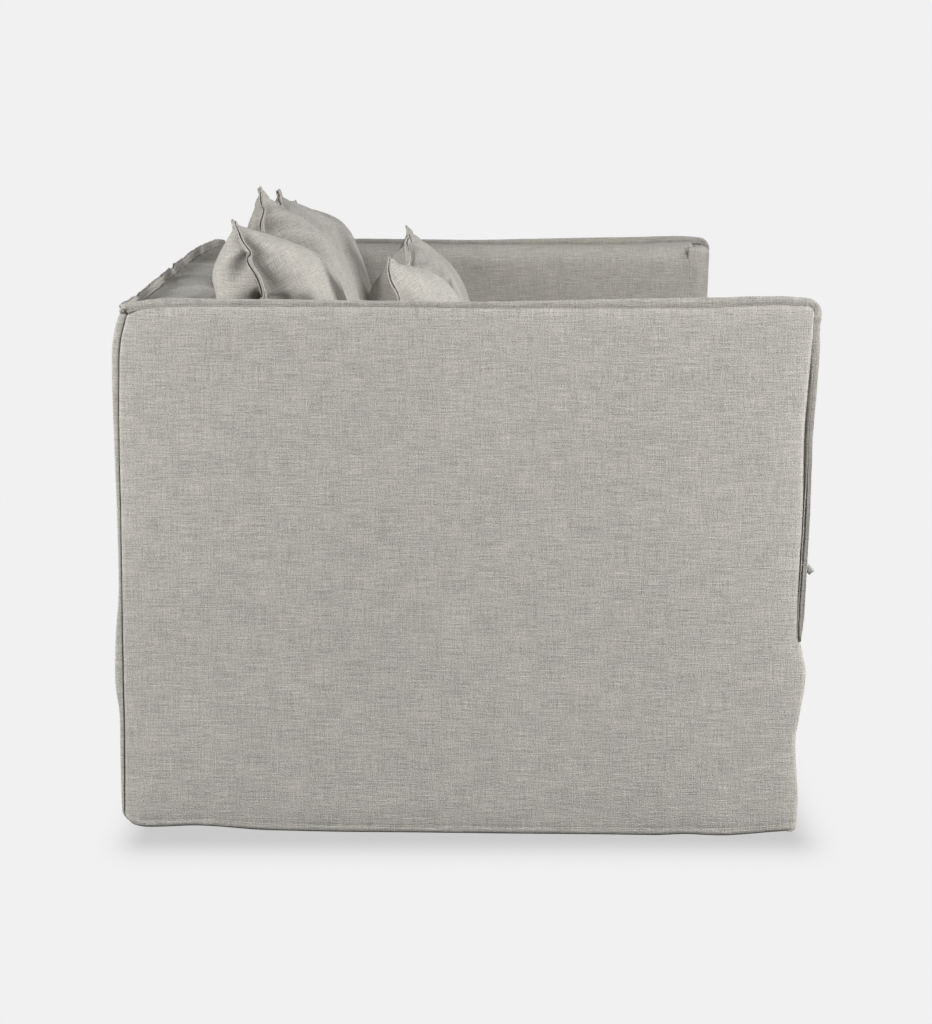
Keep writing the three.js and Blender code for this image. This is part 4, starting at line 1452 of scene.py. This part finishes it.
SCATTER_CUSHIONS = {
    "right": {
        "tips": (363.5, 366),
        "twist": -12,
        "fatness": 1.6,
        "arch": 34,
        "arch_lean": 0.5,
        "tip_lifts": ((-0.6, -0.6), (-0.6, -0.6), (-0.3, 3.0), (-0.5, -0.5)),
        "fatter": lambda place: 0.6,
        "seam_line": soft_line(
            (600, 0), (700, -2), (738, 0), (749, -1), (760, 3), (773, 3.5), (787, 3), (796, 0)
        ),
        "creases": (
            (1, -0.35, 1.0, -0.3, 0.72, 8, 6),
            (1, 0.1, 1.0, 0.05, 0.7, 8, 6),
            (1, 0.45, 1.0, 0.35, 0.7, 8, 6),
            (1, -1.0, 0.6, -0.7, 0.5, 10, 5),
        ),
    },
    "left": {
        "tips": (370, 331),
        "twist": 0,
        "fatness": 1.4,
        "arch": 8,
        "arch_lean": 0,
        "tip_lifts": PLAIN_CORNERS,
        "fatter": None,
        "seam_line": soft_line((600, 0), (700, 4), (770, 3), (800, 0)),
        "creases": ((1, -0.5, 1.0, -0.4, 0.7, 9, 5), (-1, -1.0, 0.5, -0.7, 0.4, 12, 5)),
    },
}
SCATTER_FROM_ARM = 125


def loose_cushions():
    large = [flat_pillow("large_" + name, 700, 545, 1.0 + index) for index, name in enumerate(COLUMNS)]
    small = [flat_pillow("small_" + name, 565, 435, 5.0 + index) for index, name in enumerate(SIDES)]
    seats = [unfilled_seat(name) for name in COLUMNS]
    inflate(large + small, PILLOW_FRAMES)
    inflate(seats, SEAT_FRAMES)
    for index, name in enumerate(COLUMNS):
        shape = {**BACK_SHAPE, **BACK_CUSHIONS[name], "centre": COLUMNS[name] * COLUMN_WIDTH}
        stand_pillow(large[index], shape, "back_" + name, 91.0 + index)
    for index, name in enumerate(SIDES):
        centre = SIDES[name] * (ARM_INNER - SCATTER_FROM_ARM - SCATTER_WIDTH / 2)
        shape = {**SCATTER_SHAPE, **SCATTER_CUSHIONS[name], "centre": centre}
        stand_pillow(small[index], shape, "scatter_" + name, 101.0 + index)
    for source, name in zip(seats, COLUMNS):
        finish_seat(source, name)


SEAT_RIM_DROP = 11
SEAT_REAR = BACK_FACE - 1
SEAT_FRONT = -HALF_DEPTH + FRONT_RAKE + 3
SEAT_MIDDLE = (SEAT_FRONT + SEAT_REAR) / 2
SEAT_FLAT_FROM = SEAT_REAR - 540
SEAT_BOTTOM = DECK_TOP + 1
SEAT_HALF_WIDTH = (COLUMN_WIDTH - 7) / 2
SEAT_HALF_DEPTH = (SEAT_REAR - SEAT_FRONT) / 2
SEAT_COLUMNS = 46
SEAT_ROWS = 58
# How far the filling may move a seat cushion's cover, on its rims and between them
RIM_MOVE = 5
COVER_MOVE = 13


def seat_plan(u, v, swell=0.0):
    """A place on a seat cushion's outline or inside it, from its middle line."""
    pull = 12 * (abs(u) * abs(v)) ** 8
    draw_x = 3.5 * (1 - v * v) * abs(u) ** 6
    draw_y = 3 * (1 - u * u) * abs(v) ** 6 if v < 0 else 0
    x = u * (SEAT_HALF_WIDTH - pull - draw_x + swell)
    y = SEAT_MIDDLE + v * (SEAT_HALF_DEPTH - pull - draw_y + (swell if v < 0 else 0))
    return x, y


def seat_panel(name, upper, seed):
    """The top or the bottom of a seat cushion's cover."""
    centre = COLUMNS[name] * COLUMN_WIDTH

    def place(across, up):
        u, v = across * 2 - 1, up * 2 - 1
        x, y = seat_plan(u, v)
        from_edge = min((1 - abs(u)) * SEAT_HALF_WIDTH, (1 - abs(v)) * SEAT_HALF_DEPTH)
        drop = SEAT_RIM_DROP * edge_round(from_edge, 46)
        in_front = min(max((SEAT_FLAT_FROM - y) / (SEAT_FLAT_FROM - SEAT_FRONT), 0), 1)
        crown = 12 * math.sin(math.pi * in_front) ** 1.5 * (1 - u**4)
        level = SEAT_TOP - drop + crown if upper else SEAT_BOTTOM + drop * 0.5
        cloth = (x + 200 * COLUMNS[name], y + (0 if upper else 1200))
        mark = (int(from_edge < 0.01), 1 if upper else -1, 0)
        return Vector((centre + x, y, level + ripple(x, y, 120, seed))), cloth, mark

    return turned_to(surface(SEAT_COLUMNS, SEAT_ROWS, place), (0, 0, 1 if upper else -1))


def seat_band(name, seed):
    """The band between a seat cushion's top and bottom, whose columns meet theirs."""
    centre = COLUMNS[name] * COLUMN_WIDTH
    lengths = (SEAT_COLUMNS, SEAT_ROWS) * 2
    count = sum(lengths)

    def rim_place(index):
        side = 0
        while index >= lengths[side]:
            index -= lengths[side]
            side += 1
        t = index / lengths[side]
        return ((2 * t - 1, -1), (1, 2 * t - 1), (1 - 2 * t, 1), (-1, 1 - 2 * t))[side]

    def place(across, up):
        u, v = rim_place(round(across * count) % count)
        level = mix(SEAT_BOTTOM + SEAT_RIM_DROP * 0.5, SEAT_TOP - SEAT_RIM_DROP, up)
        x, y = seat_plan(u, v, 2 * math.sin(math.pi * up))
        on_rim = up in (0, 1)
        level += ripple(x, y, 120, seed) if on_rim else 0
        mark = (int(on_rim), 2 * up - 1 if on_rim else 0, 0)
        return Vector((centre + x, y, level)), (across * 2900, up * 120), mark

    return surface(count, 9, place)


def unfilled_seat(name):
    """The sewn cover of a boxed cushion: top and bottom panels, and the band between them."""
    seed = 111.0 + COLUMNS[name] * 3
    whole = gather([seat_panel(name, True, seed), seat_panel(name, False, seed), seat_band(name, seed)])
    bmesh.ops.remove_doubles(whole, verts=whole.verts[:], dist=0.05)
    bmesh.ops.recalc_face_normals(whole, faces=whole.faces[:])
    start = whole.verts.layers.float_vector.new("start")
    for vert in whole.verts:
        vert[start] = vert.co
    rescale(whole, MM)
    return new_object("seat_" + name, whole)


def seat_place(before, move, on_rim, centre):
    """Where a point of a seat cushion ends up, held on the deck and against the back and its neighbours."""
    most = mix(COVER_MOVE, RIM_MOVE, on_rim)
    if move.length > most:
        move = move.normalized() * most
    point = before + move
    ceiling = SEAT_TOP + 17 * ease((SEAT_FLAT_FROM - point.y) / 190)
    point.z = max(soft_limit(point.z, ceiling, 3), SEAT_BOTTOM)
    point.y = min(point.y, SEAT_REAR)
    reach = SEAT_HALF_WIDTH + 1.5
    point.x = centre + min(max(point.x - centre, -reach), reach)
    return point


def finish_seat(source, name):
    """Holds a filled seat cushion to its place and sews its seams."""
    bm = refined(source)
    mark = bm.verts.layers.float_vector["mark"]
    start = bm.verts.layers.float_vector["start"]
    centre = COLUMNS[name] * COLUMN_WIDTH
    node = "seat_cushion_" + name
    rims = {1: {}, -1: {}}
    for vert in bm.verts:
        on_rim, level, _ = vert[mark]
        point = vert.co = seat_place(vert[start], vert.co - vert[start], on_rim, centre)
        if on_rim > 0.99:
            depth_share = (point.y - SEAT_MIDDLE) / (SEAT_HALF_DEPTH * 2)
            turn = math.atan2(depth_share, (point.x - centre) / COLUMN_WIDTH)
            rims[round(level)][turn] = point
    for level, found in rims.items():
        rim = [found[turn] for turn in sorted(found)]
        inside = [point.lerp(Vector((centre, SEAT_MIDDLE, point.z - 30 * level)), 0.06) for point in rim]
        seam = lips(rim, inside, (4.5, 0.8, 2.4), 121.0 + level)
        for vert in seam.verts:
            vert.co.y = min(vert.co.y, BACK_FACE - 0.4)
            vert.co.z = max(vert.co.z, DECK_TOP + 0.6)
        piece(node + ("_top_seam" if level > 0 else "_foot_seam"), seam, LINEN, "seat_" + name)
    made = piece(node + "_linen", bm, LINEN, "seat_" + name, stands_for=[node])


# Hidden pieces
def refined_copy(node, material, bevel):
    """A softened copy of a hidden soft part, in place of its plain CAD solid."""
    bm = bmesh.new()
    bm.from_mesh(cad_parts[node].data)
    bmesh.ops.remove_doubles(bm, verts=bm.verts[:], dist=1e-6)
    bmesh.ops.dissolve_limit(bm, angle_limit=0.02, verts=bm.verts[:], edges=bm.edges[:])
    sharp = [edge for edge in bm.edges if edge.is_manifold and edge.calc_face_angle(0) > 0.8]
    bmesh.ops.bevel(bm, geom=sharp, offset=bevel * MM, segments=3, affect="EDGES", profile=0.5, material=-1)
    rescale(bm, 1 / MM)
    return piece(node + "_soft", bm, material, stands_for=[node], smooth=False)


def soften_hidden_parts():
    dust_cover = refined_copy("dust_cover", BLACK_CLOTH, 0.4)
    for node in ("deck_pad", "back_pad", "right_arm_pad", "left_arm_pad"):
        refined_copy(node, FOAM, 4)


def finish_hidden_parts():
    """Wood and webbing on the CAD nodes that stay."""
    for name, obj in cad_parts.items():
        if obj.hide_render:
            continue
        low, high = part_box(name)
        size = high - low
        if name.endswith("_leg"):
            finish = LEG_WOOD
        elif name.startswith("webbing"):
            finish = WEBBING
        else:
            finish = FRAME_WOOD[max(range(3), key=lambda axis: size[axis])]
        for holder in obj.material_slots:
            holder.material = finish


# Studio, in metres
BACKDROP = 0.8796
AMBIENT = 0.15
FLOOR_SIZE = 400
# Painted shade round the foot: half its length and depth, how softly each side ends, and how dark it is
SHADE_REACH = {"X": (1.09, 0.115), "Y": (0.445, 0.038)}
SHADE_DEPTH = 0.33
# Each softbox: place, size, power and what it is aimed at
SOFTBOXES = {
    "front_softbox": ((-2.3, -2.65, 1.3), 1.2, 110, (-1.1, 0, 0.5)),
    "rear_softbox": ((-2.3, 2.65, 1.3), 1.2, 92, (-1.1, 0, 0.5)),
    "high_softbox": ((1.0, -2.4, 3.0), 1.6, 52, (-0.5, 0, 0.7)),
}
LENS = 125.1
CAMERA_PLACE = (-5.988, 0.0176, 1.0238)
CAMERA_YAW = math.radians(0.168)
CAMERA_TILT = math.radians(6.597)


def world_light():
    """An even backdrop for the camera, and a faint light from above for everything else."""
    world = Shader(bpy.data.worlds.new("studio"))
    seen = world.node("LightPath", {}, {}, "Is Camera Ray")
    direction = world.node("TexCoord", {}, {}, "Generated")
    height = world.node("SeparateXYZ", {}, {0: direction}, "Z").between(-0.5, 0.7)
    strength = seen + (1 - seen) * AMBIENT * (0.25 + 1.5 * height)
    light = world.node("Background", {}, {"Color": grey(BACKDROP), "Strength": strength})
    world.node("OutputWorld", {}, {"Surface": light})
    bpy.context.scene.world = world.owner


def floor_material():
    """A floor as bright as the backdrop, with a soft shade painted round the sofa's foot."""
    shader = Shader(bpy.data.materials.new("pale_floor"))
    place = shader.node("TexCoord", {}, {}, "Object")

    def beyond(axis):
        """How far a floor point is outside the shade along an axis, in widths of its soft edge."""
        reach, softness = SHADE_REACH[axis]
        along = shader.node("SeparateXYZ", {}, {0: place}, axis)
        size = shader.node("Math", {"operation": "ABSOLUTE"}, {0: along})
        outside = (size - reach) * (1 / softness)
        return shader.node("Math", {"operation": "MAXIMUM"}, {0: outside, 1: 0.0})

    distance = beyond("X") ** 2 + beyond("Y") ** 2
    shade = 1 - SHADE_DEPTH * shader.node("Math", {"operation": "EXPONENT"}, {0: 0 - distance})
    glow = shader.node("Emission", {}, {"Color": grey(BACKDROP), "Strength": shade})
    shader.node("OutputMaterial", {}, {"Surface": glow})
    return shader.owner


def studio():
    scene = bpy.context.scene
    scene.view_settings.view_transform = "Standard"
    world_light()
    bm = bmesh.new()
    bmesh.ops.create_grid(bm, x_segments=1, y_segments=1, size=FLOOR_SIZE)
    floor = new_object("floor", bm, floor_material())
    floor.visible_diffuse = False
    floor.visible_glossy = False
    floor.visible_shadow = False
    for name, (location, size, power, aim) in SOFTBOXES.items():
        data = bpy.data.lights.new(name, "AREA")
        data.shape = "SQUARE"
        data.size = size
        data.energy = power
        lamp = bpy.data.objects.new(name, data)
        lamp.location = location
        lamp.visible_camera = False
        lamp.rotation_euler = (Vector(aim) - Vector(location)).to_track_quat("-Z", "Y").to_euler()
        scene.collection.objects.link(lamp)


def camera():
    data = bpy.data.cameras.new("camera")
    data.lens = LENS
    data.sensor_width = 36
    data.clip_end = 900
    made = bpy.data.objects.new("camera", data)
    made.location = CAMERA_PLACE
    level = math.cos(CAMERA_TILT)
    forward = Vector((math.cos(CAMERA_YAW) * level, -math.sin(CAMERA_YAW) * level, -math.sin(CAMERA_TILT)))
    made.rotation_euler = forward.to_track_quat("-Z", "Y").to_euler()
    bpy.context.scene.collection.objects.link(made)
    bpy.context.scene.camera = made


camera()
studio()
for side in SIDES:
    outside_arm_cover(side)
    inside_arm_cover(side)
    arm_front_cover(side)
    cover_tie(side)
    stitches("arm_stitches_" + side, arm_flange(side) + [hem_stitches(side)])
inside_back_cover()
outside_back_cover()
front_skirt()
deck_cover()
stitches("back_stitches", back_flange())
loose_cushions()
soften_hidden_parts()
finish_hidden_parts()
